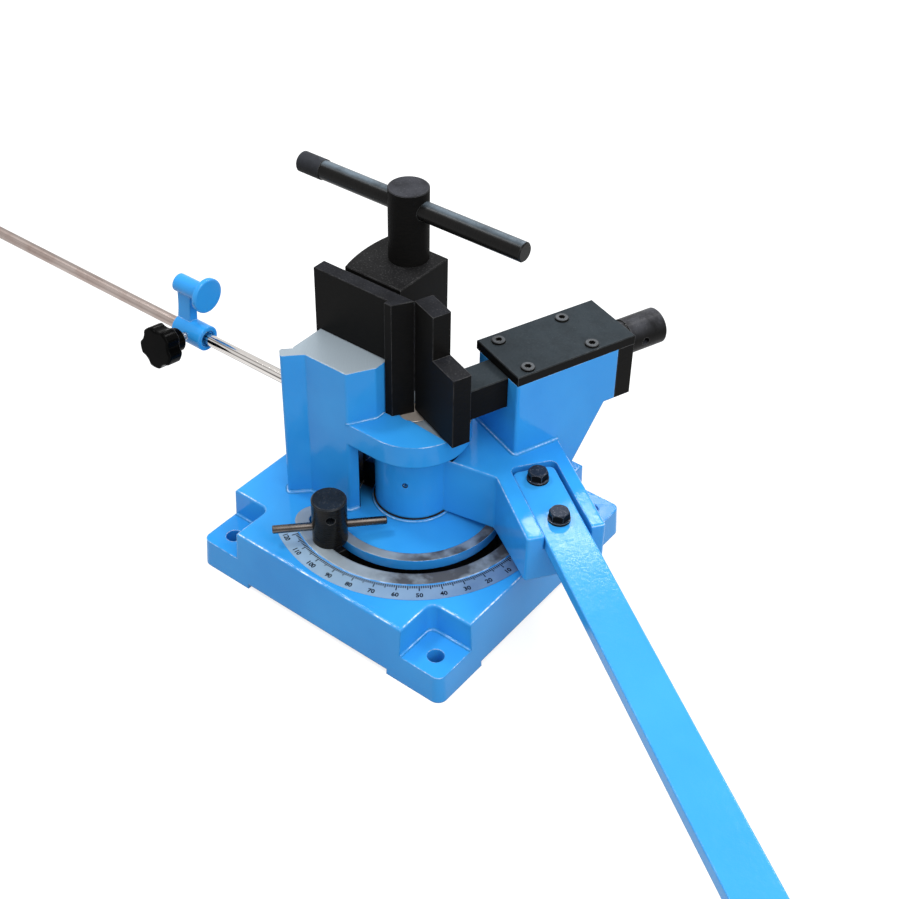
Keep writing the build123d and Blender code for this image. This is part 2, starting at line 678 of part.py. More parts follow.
LEVER_BOLTS = [
    upright_in(LEVER, LEVER_START + LEVER_BOLT_INSET + step, LEVER_CENTRE, LEVER_TOP)
    for step in (0, LEVER_BOLT_PITCH)
]
with BuildPart() as lever_washers:
    with Locations(*LEVER_BOLTS):
        Cylinder(LEVER_WASHER_DIA / 2, LEVER_WASHER_THICK, align=(Align.CENTER, Align.CENTER, Align.MIN))
        Cylinder(
            LEVER_BOLT_DIA / 2 + CURVE_FIT,
            LEVER_WASHER_THICK,
            align=(Align.CENTER, Align.CENTER, Align.MIN),
            mode=Mode.SUBTRACT,
        )
save(lever_washers, "lever_washers")

lever_bolt = hex_screw(
    LEVER_BOLT_HEAD,
    LEVER_BOLT_HEAD_HEIGHT,
    LEVER_BOLT_DIA,
    LEVER_WASHER_THICK + LEVER_THICK + LEVER_BOLT_REACH,
)
with BuildPart() as lever_bolts:
    with Locations(*[plane.offset(LEVER_WASHER_THICK) for plane in LEVER_BOLTS]):
        add(lever_bolt)
save(lever_bolts, "lever_bolts")

# Ram with its screw bore and the holes for the die's stud and dowels
DIE_BACK = DIE_SETBACK + DIE_THICK
RAM_BORE = RAM_TAIL - SCREW_TIP + RAM_TRAVEL + DIE_STUD_GRIP
DOWEL_W = (RAM_CENTRE - DIE_DOWEL_PITCH / 2, RAM_CENTRE + DIE_DOWEL_PITCH / 2)
with BuildPart() as ram:
    with BuildSketch(across_u(RAM_CENTRE, DIE_BACK, RAM_AXIS)):
        Rectangle(RAM_SIDE, RAM_SIDE)
    extrude(amount=RAM_TAIL - DIE_BACK)
    chamfer(ram.edges().filter_by(Axis(ARM.origin, ARM.y_dir)), RAM_CHAMFER)
    with BuildSketch(across_u(RAM_CENTRE, RAM_TAIL, RAM_AXIS)):
        Circle(SCREW_DIA / 2 + CURVE_FIT)
    extrude(amount=-RAM_BORE, mode=Mode.SUBTRACT)
    with BuildSketch(across_u(RAM_CENTRE, DIE_BACK, RAM_AXIS)):
        Circle(DIE_STUD_DIA / 2 + RUN_FIT)
    extrude(amount=DIE_STUD_REACH + RUN_FIT, mode=Mode.SUBTRACT)
    for w in DOWEL_W:
        with BuildSketch(across_u(w, DIE_BACK, RAM_AXIS)):
            Circle(DIE_DOWEL_DIA / 2 + RUN_FIT)
        extrude(amount=DIE_DOWEL_LENGTH / 2 + RUN_FIT, mode=Mode.SUBTRACT)
save(ram, "ram")

with BuildPart() as stepped_die:
    with BuildSketch(across_u(0, DIE_SETBACK, DIE_BOTTOM)):
        with BuildLine():
            Polyline(
                (0, 0),
                (DIE_WIDTH, 0),
                (DIE_WIDTH, -DIE_STEP),
                (DIE_TOP_WIDTH, -DIE_STEP),
                (DIE_TOP_WIDTH, DIE_BOTTOM - PLATE_TOP),
                (0, DIE_BOTTOM - PLATE_TOP),
                close=True,
            )
        make_face()
    extrude(amount=DIE_THICK)
    chamfer(stepped_die.edges().filter_by(Axis.Z), DIE_CHAMFER)
    with BuildSketch(across_u(RAM_CENTRE, DIE_BACK, RAM_AXIS)):
        Circle(DIE_STUD_DIA / 2 + RUN_FIT)
    extrude(amount=-DIE_STUD_GRIP - RUN_FIT, mode=Mode.SUBTRACT)
    for w in DOWEL_W:
        with BuildSketch(across_u(w, DIE_BACK, RAM_AXIS)):
            Circle(DIE_DOWEL_DIA / 2 + RUN_FIT)
        extrude(amount=-DIE_DOWEL_LENGTH / 2 - RUN_FIT, mode=Mode.SUBTRACT)
save(stepped_die, "stepped_die")

with BuildPart() as die_stud:
    with BuildSketch(across_u(RAM_CENTRE, DIE_BACK - DIE_STUD_GRIP, RAM_AXIS)):
        Circle(DIE_STUD_DIA / 2)
    extrude(amount=DIE_STUD_GRIP + DIE_STUD_REACH)
save(die_stud, "die_stud")

with BuildPart() as die_dowels:
    for w in DOWEL_W:
        with BuildSketch(across_u(w, DIE_BACK - DIE_DOWEL_LENGTH / 2, RAM_AXIS)):
            Circle(DIE_DOWEL_DIA / 2)
        extrude(amount=DIE_DOWEL_LENGTH)
save(die_dowels, "die_dowels")

# Cover over the ram box and the end plate under its tail
with BuildPart() as ram_cover:
    with BuildSketch(ARM.offset(BOX_TOP)):
        with Locations((BOX_LEFT - COVER_OVERHANG, BOX_FRONT)):
            Rectangle(BOX_WIDTH + COVER_OVERHANG, BOX_LENGTH + END_PLATE_THICK, align=(Align.MIN, Align.MIN))
    extrude(amount=COVER_THICK)
    chamfer(ram_cover.faces().sort_by(Axis.Z)[-1].edges(), COVER_CHAMFER)
    with BuildSketch(ARM.offset(BOX_TOP)):
        with Locations(*COVER_CAPS):
            Circle(CAP_DIA / 2 + CURVE_FIT)
    extrude(amount=COVER_THICK, mode=Mode.SUBTRACT)
    with BuildSketch(ARM.offset(BOX_TOP + CAP_HEAD_SEAT)):
        with Locations(*COVER_CAPS):
            Circle(CAP_HEAD_DIA / 2 + CURVE_FIT)
    extrude(amount=COVER_THICK, mode=Mode.SUBTRACT)
save(ram_cover, "ram_cover")

cap = cap_screw()
with BuildPart() as cover_screws:
    with Locations(*[upright_in(ARM, w, u, BOX_TOP + CAP_HEAD_SEAT) for w, u in COVER_CAPS]):
        add(cap)
save(cover_screws, "cover_screws")

with BuildPart() as end_plate:
    with BuildSketch(across_u(BOX_LEFT, BOX_BACK, BOX_TOP)):
        Rectangle(BOX_WIDTH, END_PLATE_DROP, align=(Align.MIN, Align.MIN))
    extrude(amount=END_PLATE_THICK)
    chamfer(end_plate.edges().filter_by(Axis.Z), COVER_CHAMFER)
    with BuildSketch(across_u(RAM_CENTRE, BOX_BACK, RAM_AXIS)):
        Circle(SCREW_DIA / 2 + RUN_FIT)
    extrude(amount=END_PLATE_THICK, mode=Mode.SUBTRACT)
    for w, z in END_CAPS:
        with BuildSketch(across_u(w, BOX_BACK, z)):
            Circle(CAP_DIA / 2 + CURVE_FIT)
        extrude(amount=END_PLATE_THICK, mode=Mode.SUBTRACT)
        with BuildSketch(across_u(w, BOX_BACK + END_CAP_SEAT, z)):
            Circle(CAP_HEAD_DIA / 2 + CURVE_FIT)
        extrude(amount=END_PLATE_THICK, mode=Mode.SUBTRACT)
save(end_plate, "end_plate")

with BuildPart() as end_plate_screws:
    with Locations(*[across_u(w, BOX_BACK + END_CAP_SEAT, z) for w, z in END_CAPS]):
        add(cap)
save(end_plate_screws, "end_plate_screws")

NECK_START = END_PLATE_BACK + SLIDE_FIT
HEAD_START = NECK_START + SCREW_NECK
with BuildPart() as ram_screw:
    with BuildSketch(across_u(RAM_CENTRE, SCREW_TIP, RAM_AXIS)):
        Circle(SCREW_DIA / 2)
    extrude(amount=NECK_START - SCREW_TIP)
    with BuildSketch(across_u(RAM_CENTRE, NECK_START, RAM_AXIS)):
        Circle(SCREW_NECK_DIA / 2)
    extrude(amount=SCREW_NECK)
    with BuildSketch(across_u(RAM_CENTRE, HEAD_START, RAM_AXIS)):
        Circle(SCREW_HEAD_DIA / 2)
    extrude(amount=SCREW_HEAD)
    chamfer(ram_screw.edges().filter_by(GeomType.CIRCLE).sort_by(Axis(ARM.origin, ARM.y_dir))[-1], SCREW_HEAD_CHAMFER)
    for turn in (0, 90):
        drill = across_u(RAM_CENTRE, HEAD_START + SCREW_HOLE_INSET, RAM_AXIS).rotated((0, 0, turn))
        with BuildSketch(Plane(origin=drill.origin, x_dir=drill.z_dir, z_dir=drill.x_dir)):
            Circle(SCREW_HEAD_HOLE / 2)
        extrude(amount=SCREW_HEAD_DIA, both=True, mode=Mode.SUBTRACT)
save(ram_screw, "ram_screw")

with BuildPart() as screw_collar:
    with BuildSketch(across_u(RAM_CENTRE, BOX_BACK - SLIDE_FIT, RAM_AXIS)):
        Circle(SCREW_COLLAR_DIA / 2)
        Circle(SCREW_DIA / 2 + RUN_FIT, mode=Mode.SUBTRACT)
    extrude(amount=-SCREW_COLLAR)
save(screw_collar, "screw_collar")

# Former plate with its bevelled nose on the pivot, and the screws that hold it to the column
FORMER_CONE = (FORMER_SCREW_HEAD - FORMER_SCREW_DIA) / 2
with BuildPart() as former_plate:
    with BuildSketch(Plane.XY.offset(SEAT)):
        with BuildLine():
            Polyline(
                (PLATE_LEFT, 0),
                (0, 0),
                (-NOSE_RUN, -PLATE_THICK),
                (PLATE_LEFT, -PLATE_THICK),
                close=True,
            )
        make_face()
    extrude(amount=PLATE_HEIGHT)
    # The front is milled back to meet the column, short of the nose
    with Locations((PLATE_RELIEF_END, -PLATE_THICK, SEAT)):
        Box(
            BASE_SIDE,
            2 * PLATE_RELIEF,
            PLATE_HEIGHT,
            align=(Align.MAX, Align.CENTER, Align.MIN),
            mode=Mode.SUBTRACT,
        )
    chamfer(former_plate.faces().sort_by(Axis.Z)[-1].edges(), PLATE_CHAMFER)
    for x in FORMER_SCREW_X:
        with BuildSketch(Plane(origin=(x, 0, SEAT + FORMER_SCREW_LIFT), x_dir=(1, 0, 0), z_dir=(0, -1, 0))):
            Circle(FORMER_SCREW_DIA / 2 + CURVE_FIT)
        extrude(amount=PLATE_THICK, mode=Mode.SUBTRACT)
        with BuildSketch(Plane(origin=(x, 0, SEAT + FORMER_SCREW_LIFT), x_dir=(1, 0, 0), z_dir=(0, -1, 0))):
            Circle(FORMER_SCREW_HEAD / 2 + CURVE_FIT)
        extrude(amount=FORMER_CONE, taper=45, mode=Mode.SUBTRACT)
save(former_plate, "former_plate")

with BuildPart() as former_screws:
    for x in FORMER_SCREW_X:
        with BuildSketch(Plane(origin=(x, 0, SEAT + FORMER_SCREW_LIFT), x_dir=(1, 0, 0), z_dir=(0, -1, 0))):
            Circle(FORMER_SCREW_DIA / 2)
        extrude(amount=FORMER_SCREW_LENGTH)
        with BuildSketch(Plane(origin=(x, 0, SEAT + FORMER_SCREW_LIFT), x_dir=(1, 0, 0), z_dir=(0, -1, 0))):
            Circle(FORMER_SCREW_HEAD / 2)
        extrude(amount=FORMER_CONE, taper=45)
        with BuildSketch(Plane(origin=(x, 0, SEAT + FORMER_SCREW_LIFT), x_dir=(1, 0, 0), z_dir=(0, -1, 0))):
            RegularPolygon(CAP_SOCKET / 2, 6, major_radius=False)
        extrude(amount=FORMER_CONE, mode=Mode.SUBTRACT)
save(former_screws, "former_screws")

# Clamp block, guided by a key, with a cross slot for the spindle's cam
with BuildPart() as clamp_block:
    with BuildSketch(Plane.XY.offset(SEAT + SLIDE_FIT)):
        with BuildLine():
            Polyline(
                (BLOCK_LEFT, BLOCK_FRONT),
                (BLOCK_RIGHT, BLOCK_FRONT),
                (BLOCK_RIGHT, BLOCK_BACK),
                (BLOCK_LEFT - BLOCK_BULGE / 2, BLOCK_BACK),
            )
            ThreePointArc(
                (BLOCK_LEFT - BLOCK_BULGE / 2, BLOCK_BACK),
                (BLOCK_LEFT - 1.4 * BLOCK_BULGE, (BLOCK_FRONT + BLOCK_BACK) / 2),
                (BLOCK_LEFT, BLOCK_FRONT),
            )
        make_face()
    extrude(amount=PLATE_HEIGHT - SLIDE_FIT)
    chamfer(clamp_block.faces().sort_by(Axis.Z)[-1].edges(), BLOCK_CHAMFER)
    with Locations((KEY_X, (BLOCK_FRONT + BLOCK_BACK) / 2, SEAT + SLIDE_FIT)):
        Box(KEY_WIDTH, BLOCK_DEPTH - 2 * KEY_WIDTH, KEY_DEPTH, align=(Align.CENTER, Align.CENTER, Align.MAX))
    with BuildSketch(Plane.XY.offset(SEAT)):
        with Locations((SPINDLE_X + CAM_THROW / 2, SPINDLE_Y)):
            SlotOverall(CAM_DIA + 2 * CURVE_FIT + CAM_THROW, CAM_DIA + 2 * CURVE_FIT)
    extrude(amount=PLATE_HEIGHT, mode=Mode.SUBTRACT)
save(clamp_block, "clamp_block")

with BuildPart() as clamp_spindle:
    with BuildSketch(Plane.XY.offset(PLATE_TOP + SLIDE_FIT)):
        with Locations((SPINDLE_X, SPINDLE_Y)):
            Circle(SPINDLE_DIA / 2)
    extrude(amount=SPINDLE_ABOVE - SLIDE_FIT)
    chamfer(clamp_spindle.edges().filter_by(GeomType.CIRCLE).sort_by(Axis.Z)[-1], SPINDLE_CHAMFER)
    with BuildSketch(Plane.XY.offset(SEAT + SLIDE_FIT)):
        with Locations((SPINDLE_X + CAM_THROW, SPINDLE_Y)):
            Circle(CAM_DIA / 2)
    extrude(amount=PLATE_HEIGHT)
    with BuildSketch(Plane.XY.offset(JOURNAL_BOTTOM)):
        with Locations((SPINDLE_X, SPINDLE_Y)):
            Circle(JOURNAL_DIA / 2)
    extrude(amount=JOURNAL_LENGTH + SLIDE_FIT)
    with BuildSketch(Plane.YZ.offset(SPINDLE_X)):
        with Locations((SPINDLE_Y, T_BAR_Z)):
            Circle(T_BAR_DIA / 2 + RUN_FIT)
    extrude(amount=SPINDLE_DIA, both=True, mode=Mode.SUBTRACT)
    with BuildSketch(Plane.XY.offset(JOURNAL_BOTTOM)):
        with Locations((SPINDLE_X, SPINDLE_Y)):
            Circle(SPINDLE_SCREW_DIA / 2 + RUN_FIT)
    extrude(amount=SPINDLE_SCREW_REACH + RUN_FIT, mode=Mode.SUBTRACT)
save(clamp_spindle, "clamp_spindle")

with BuildPart() as clamp_t_bar:
    with BuildSketch(Plane.YZ.offset(SPINDLE_X - T_BAR_LENGTH / 2)):
        with Locations((SPINDLE_Y, T_BAR_Z)):
            Circle(T_BAR_DIA / 2)
    extrude(amount=T_BAR_LENGTH)
    with BuildSketch(Plane.YZ.offset(SPINDLE_X - T_BAR_LENGTH / 2)):
        with Locations((SPINDLE_Y, T_BAR_Z)):
            Circle(T_BAR_GRIP_DIA / 2)
    extrude(amount=T_BAR_GRIP)
    ends = clamp_t_bar.edges().filter_by(GeomType.CIRCLE).sort_by(Axis.X)
    chamfer([ends[0], ends[-1]], T_BAR_CHAMFER)
save(clamp_t_bar, "clamp_t_bar")

with BuildPart() as spindle_washer:
    with BuildSketch(Plane.XY.offset(JOURNAL_BOTTOM - SLIDE_FIT)):
        with Locations((SPINDLE_X, SPINDLE_Y)):
            Circle(SPINDLE_WASHER_DIA / 2)
            Circle(SPINDLE_SCREW_DIA / 2 + CURVE_FIT, mode=Mode.SUBTRACT)
    extrude(amount=-SPINDLE_WASHER)
save(spindle_washer, "spindle_washer")

spindle_bolt = hex_screw(
    LEVER_BOLT_HEAD,
    LEVER_BOLT_HEAD_HEIGHT,
    SPINDLE_SCREW_DIA,
    SPINDLE_WASHER + SLIDE_FIT + SPINDLE_SCREW_REACH,
)
SPINDLE_FOOT = (SPINDLE_X, SPINDLE_Y, JOURNAL_BOTTOM - SLIDE_FIT - SPINDLE_WASHER)
with BuildPart() as spindle_screw:
    with Locations(Plane(origin=SPINDLE_FOOT, x_dir=(1, 0, 0), z_dir=(0, 0, -1))):
        add(spindle_bolt)
save(spindle_screw, "spindle_screw")

# Angle stop: a turned post on a T-bolt in the annular slot, with a tommy bar
BAR = STOP.rotated((0, 0, STOP_BAR_TURN))
with BuildPart() as angle_stop:
    with BuildSketch(STOP.offset(SLIDE_FIT)):
        Circle(STOP_DIA / 2)
    extrude(amount=STOP_HEIGHT - SLIDE_FIT)
    chamfer(angle_stop.edges().filter_by(GeomType.CIRCLE).sort_by(Axis.Z)[-1], STOP_CHAMFER)
    with BuildSketch(STOP):
        Circle(STOP_STUD_DIA / 2 + RUN_FIT)
    extrude(amount=STOP_BORE + RUN_FIT, mode=Mode.SUBTRACT)
    for turned, height, diameter in (
        (BAR.x_dir, STOP_BAR_HEIGHT, STOP_BAR_DIA + 2 * RUN_FIT),
        (BAR.y_dir, STOP_SPARE_HOLE_HEIGHT, STOP_SPARE_HOLE_DIA),
    ):
        with BuildSketch(Plane(origin=STOP.offset(height).origin, x_dir=(0, 0, 1), z_dir=turned)):
            Circle(diameter / 2)
        extrude(amount=STOP_DIA, both=True, mode=Mode.SUBTRACT)
save(angle_stop, "angle_stop")

with BuildPart() as stop_bar:
    with BuildSketch(Plane(origin=STOP.offset(STOP_BAR_HEIGHT).origin, x_dir=(0, 0, 1), z_dir=BAR.x_dir)):
        Circle(STOP_BAR_DIA / 2)
    extrude(amount=STOP_BAR_LENGTH / 2, both=True)
    chamfer(stop_bar.edges().filter_by(GeomType.CIRCLE), STOP_BAR_CHAMFER)
save(stop_bar, "stop_bar")

SLOT_ACROSS = STOP.rotated((0, 0, STOP_TURN))
with BuildPart() as stop_t_bolt:
    with BuildSketch(SLOT_ACROSS.offset(SLOT_ROOF - PAD_TOP - SLIDE_FIT)):
        Rectangle(STOP_HEAD_SIDE, STOP_HEAD_SIDE)
    extrude(amount=-STOP_HEAD)
    with BuildSketch(SLOT_ACROSS.offset(SLOT_ROOF - PAD_TOP - SLIDE_FIT)):
        Circle(STOP_STUD_DIA / 2)
    extrude(amount=PAD_TOP - SLOT_ROOF + SLIDE_FIT + STOP_BORE)
save(stop_t_bolt, "stop_t_bolt")

# Length stop on its rod, with a star knob
with BuildPart() as stop_rod:
    with BuildSketch(Plane.YZ.offset(COLUMN_LEFT + ROD_GRIP)):
        with Locations((ROD_Y, ROD_Z)):
            Circle(ROD_DIA / 2)
    extrude(amount=-ROD_LENGTH)
    chamfer(stop_rod.edges().filter_by(GeomType.CIRCLE).sort_by(Axis.X)[0], ROD_CHAMFER)
save(stop_rod, "stop_rod")

FEELER_X = COLLAR_X - FEELER_BACKSET
KNOB_X = COLLAR_X + COLLAR_LENGTH / 2 + KNOB_SHIFT
KNOB_AXIS = Plane(
    origin=LENGTH_STOP.from_local_coords((KNOB_X, 0, 0)),
    x_dir=LENGTH_STOP.x_dir,
    z_dir=-LENGTH_STOP.y_dir,
)
with BuildPart() as length_stop:
    with BuildSketch(across_rod(COLLAR_X)):
        Circle(COLLAR_DIA / 2)
    extrude(amount=COLLAR_LENGTH)
    fillet(length_stop.edges().filter_by(GeomType.CIRCLE), COLLAR_ROUND)
    with BuildSketch(across_rod(FEELER_X)):
        with Locations((0, FEELER_RISE)):
            Circle(FEELER_DIA / 2)
    extrude(amount=FEELER_LENGTH)
    with BuildSketch(across_rod(FEELER_X + FEELER_LENGTH)):
        with Locations((0, FEELER_RISE)):
            Circle(FEELER_DISC_DIA / 2)
    extrude(amount=FEELER_DISC)
    rims = length_stop.edges().filter_by(GeomType.CIRCLE)
    disc_rims = rims.filter_by(lambda edge: abs(edge.radius - FEELER_DISC_DIA / 2) < CURVE_FIT)
    fillet(disc_rims, FEELER_DISC_ROUND)
    web_top = COLLAR_X + WEB_TOP_SHIFT
    waist = COLLAR_X + WEB_WAIST_INSET
    with BuildSketch(Plane(origin=LENGTH_STOP.origin, x_dir=(1, 0, 0), z_dir=-LENGTH_STOP.y_dir)):
        with BuildLine():
            Line((COLLAR_X, 0), (COLLAR_X + WEB_WIDTH, 0))
            ThreePointArc(
                (COLLAR_X + WEB_WIDTH, 0),
                (waist + WEB_WAIST, FEELER_RISE / 2),
                (web_top + WEB_WIDTH, FEELER_RISE),
            )
            Line((web_top + WEB_WIDTH, FEELER_RISE), (web_top, FEELER_RISE))
            ThreePointArc((web_top, FEELER_RISE), (waist, FEELER_RISE / 2), (COLLAR_X, 0))
        make_face()
    extrude(amount=WEB_THICK / 2, both=True)
    with BuildSketch(across_rod(COLLAR_X)):
        Circle(ROD_DIA / 2 + CURVE_FIT)
    extrude(amount=COLLAR_LENGTH, mode=Mode.SUBTRACT)
    with BuildSketch(across_rod(COLLAR_X + COLLAR_LENGTH - COLLAR_MOUTH)):
        Circle(COLLAR_MOUTH_DIA / 2)
    extrude(amount=COLLAR_MOUTH, mode=Mode.SUBTRACT)
    with BuildSketch(KNOB_AXIS):
        Circle(STUD_DIA / 2 + RUN_FIT)
    extrude(amount=COLLAR_DIA, mode=Mode.SUBTRACT)
save(length_stop, "length_stop")

HUB_FACE = COLLAR_DIA / 2 + KNOB_STANDOFF
with BuildPart() as star_knob:
    with BuildSketch(KNOB_AXIS.offset(HUB_FACE + KNOB_HUB)) as knob_face:
        Circle(KNOB_DIA / 2)
        with PolarLocations(KNOB_DIA / 2 + KNOB_SCALLOP - KNOB_SCALLOP_DEPTH, KNOB_LOBES, KNOB_TURN):
            Circle(KNOB_SCALLOP, mode=Mode.SUBTRACT)
        fillet(knob_face.vertices(), KNOB_LOBE_ROUND)
    extrude(amount=KNOB_THICK)
    fillet(star_knob.faces().filter_by(GeomType.PLANE).sort_by(Axis(KNOB_AXIS.origin, KNOB_AXIS.z_dir))[-1].edges(),
           KNOB_ROUND)
    with BuildSketch(KNOB_AXIS.offset(HUB_FACE)):
        Circle(KNOB_HUB_DIA / 2)
    extrude(amount=KNOB_HUB)
    with BuildSketch(KNOB_AXIS.offset(HUB_FACE)):
        Circle(STUD_DIA / 2 + RUN_FIT)
    extrude(amount=STUD_GRIP + RUN_FIT, mode=Mode.SUBTRACT)
save(star_knob, "star_knob")

with BuildPart() as knob_stud:
    with BuildSketch(KNOB_AXIS.offset(ROD_DIA / 2 + CURVE_FIT)):
        Circle(STUD_DIA / 2)
    extrude(amount=HUB_FACE + STUD_GRIP - ROD_DIA / 2 - CURVE_FIT)
save(knob_stud, "knob_stud")
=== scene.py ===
import logging
import math
from dataclasses import dataclass
from enum import Enum
from functools import partial, reduce
from typing import ClassVar, Iterable, Sequence

import bmesh
import bpy
from mathutils import Matrix, Vector


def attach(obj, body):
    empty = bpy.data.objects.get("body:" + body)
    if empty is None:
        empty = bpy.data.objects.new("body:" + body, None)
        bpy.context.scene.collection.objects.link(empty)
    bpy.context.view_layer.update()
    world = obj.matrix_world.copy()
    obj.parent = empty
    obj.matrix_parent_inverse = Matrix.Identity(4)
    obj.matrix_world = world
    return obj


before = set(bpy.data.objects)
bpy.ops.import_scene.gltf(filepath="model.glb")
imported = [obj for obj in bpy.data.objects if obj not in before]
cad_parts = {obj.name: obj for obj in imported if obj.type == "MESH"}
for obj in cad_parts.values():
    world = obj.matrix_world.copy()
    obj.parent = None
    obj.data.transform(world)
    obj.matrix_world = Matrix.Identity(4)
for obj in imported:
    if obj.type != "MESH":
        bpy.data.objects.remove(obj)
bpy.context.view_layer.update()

LOG = logging.getLogger("bender")

Point = tuple[float, float, float]
Pair = tuple[float, float]
Colour = tuple[float, float, float]
Socket = bpy.types.NodeSocket
Mesh = bpy.types.Mesh

# The part of a noise pattern's range that roughness follows
SPREAD: Pair = (0.3, 0.7)
# Points of a piece that lie closer than this, in metres, become one
WELD = 0.000002
# Edges that bend more than this stay sharp
SHARP_ANGLE = math.radians(38)


def srgb(*channels: float) -> Colour:
    """Turns red, green and blue from 0 to 255, as a screen shows them, into linear light."""
    shares = [channel / 255 for channel in channels]
    return tuple(s / 12.92 if s <= 0.04045 else ((s + 0.055) / 1.055) ** 2.4 for s in shares)


class Wiring:
    """Short calls that add nodes to a tree and join them."""

    def __init__(self, tree: bpy.types.NodeTree) -> None:
        """Keeps the tree that the calls write to."""
        self.tree = tree

    def node(self, kind: str, inputs: dict | None = None, **settings: object) -> bpy.types.Node:
        """Adds a node.

        Args:
            kind: The node's type.
            inputs: Values or sockets for its inputs, by name or number.
            **settings: The node's own options.

        Returns:
            The new node.
        """
        made = self.tree.nodes.new(kind)
        for key, value in settings.items():
            setattr(made, key, value)
        for key, value in (inputs or {}).items():
            self.feed(made.inputs[key], value)
        return made

    def out(self, kind: str, inputs: dict | None = None, **settings: object) -> Socket:
        """Adds a node and returns its first output."""
        return self.node(kind, inputs, **settings).outputs[0]

    def feed(self, socket: Socket, value: object) -> None:
        """Links or sets one input.

        Args:
            socket: The input.
            value: Another node's output, a number, a colour, a vector or a data block.
        """
        if isinstance(value, bpy.types.NodeSocket):
            self.tree.links.new(value, socket)
        elif socket.type == "RGBA":
            socket.default_value = (*value, 1.0)
        else:
            socket.default_value = value

    def math(self, operation: str, *values: object) -> Socket:
        """Adds a Math node and returns its result."""
        return self.out("ShaderNodeMath", dict(enumerate(values)), operation=operation)

    def times(self, *values: object) -> Socket:
        """Multiplies values."""
        return reduce(partial(self.math, "MULTIPLY"), values)

    def most(self, *values: object) -> Socket:
        """The greatest of some values."""
        return reduce(partial(self.math, "MAXIMUM"), values)

    def below(self, value: Socket, limit: float) -> Socket:
        """1 where a value is less than a limit."""
        return self.math("LESS_THAN", value, limit)

    def near(self, value: Socket, target: float, reach: float) -> Socket:
        """1 where a value lies within reach of a target."""
        return self.math("COMPARE", value, target, reach)

    def mix(self, share: Socket, first: object, second: object) -> Socket:
        """Mixes two numbers by a share from 0 to 1."""
        return self.out("ShaderNodeMix", {0: share, 2: first, 3: second})

    def blend(self, share: Socket, first: object, second: object) -> Socket:
        """Mixes two colours by a share from 0 to 1."""
        inputs = {0: share, 6: first, 7: second}
        return self.node("ShaderNodeMix", inputs, data_type="RGBA").outputs[2]

    def split(self, vector: Socket) -> tuple[Socket, ...]:
        """A vector's X, Y and Z."""
        return tuple(self.node("ShaderNodeSeparateXYZ", {0: vector}).outputs)

    def join(self, x: object = 0.0, y: object = 0.0, z: object = 0.0) -> Socket:
        """A vector of three numbers."""
        return self.out("ShaderNodeCombineXYZ", {0: x, 1: y, 2: z})


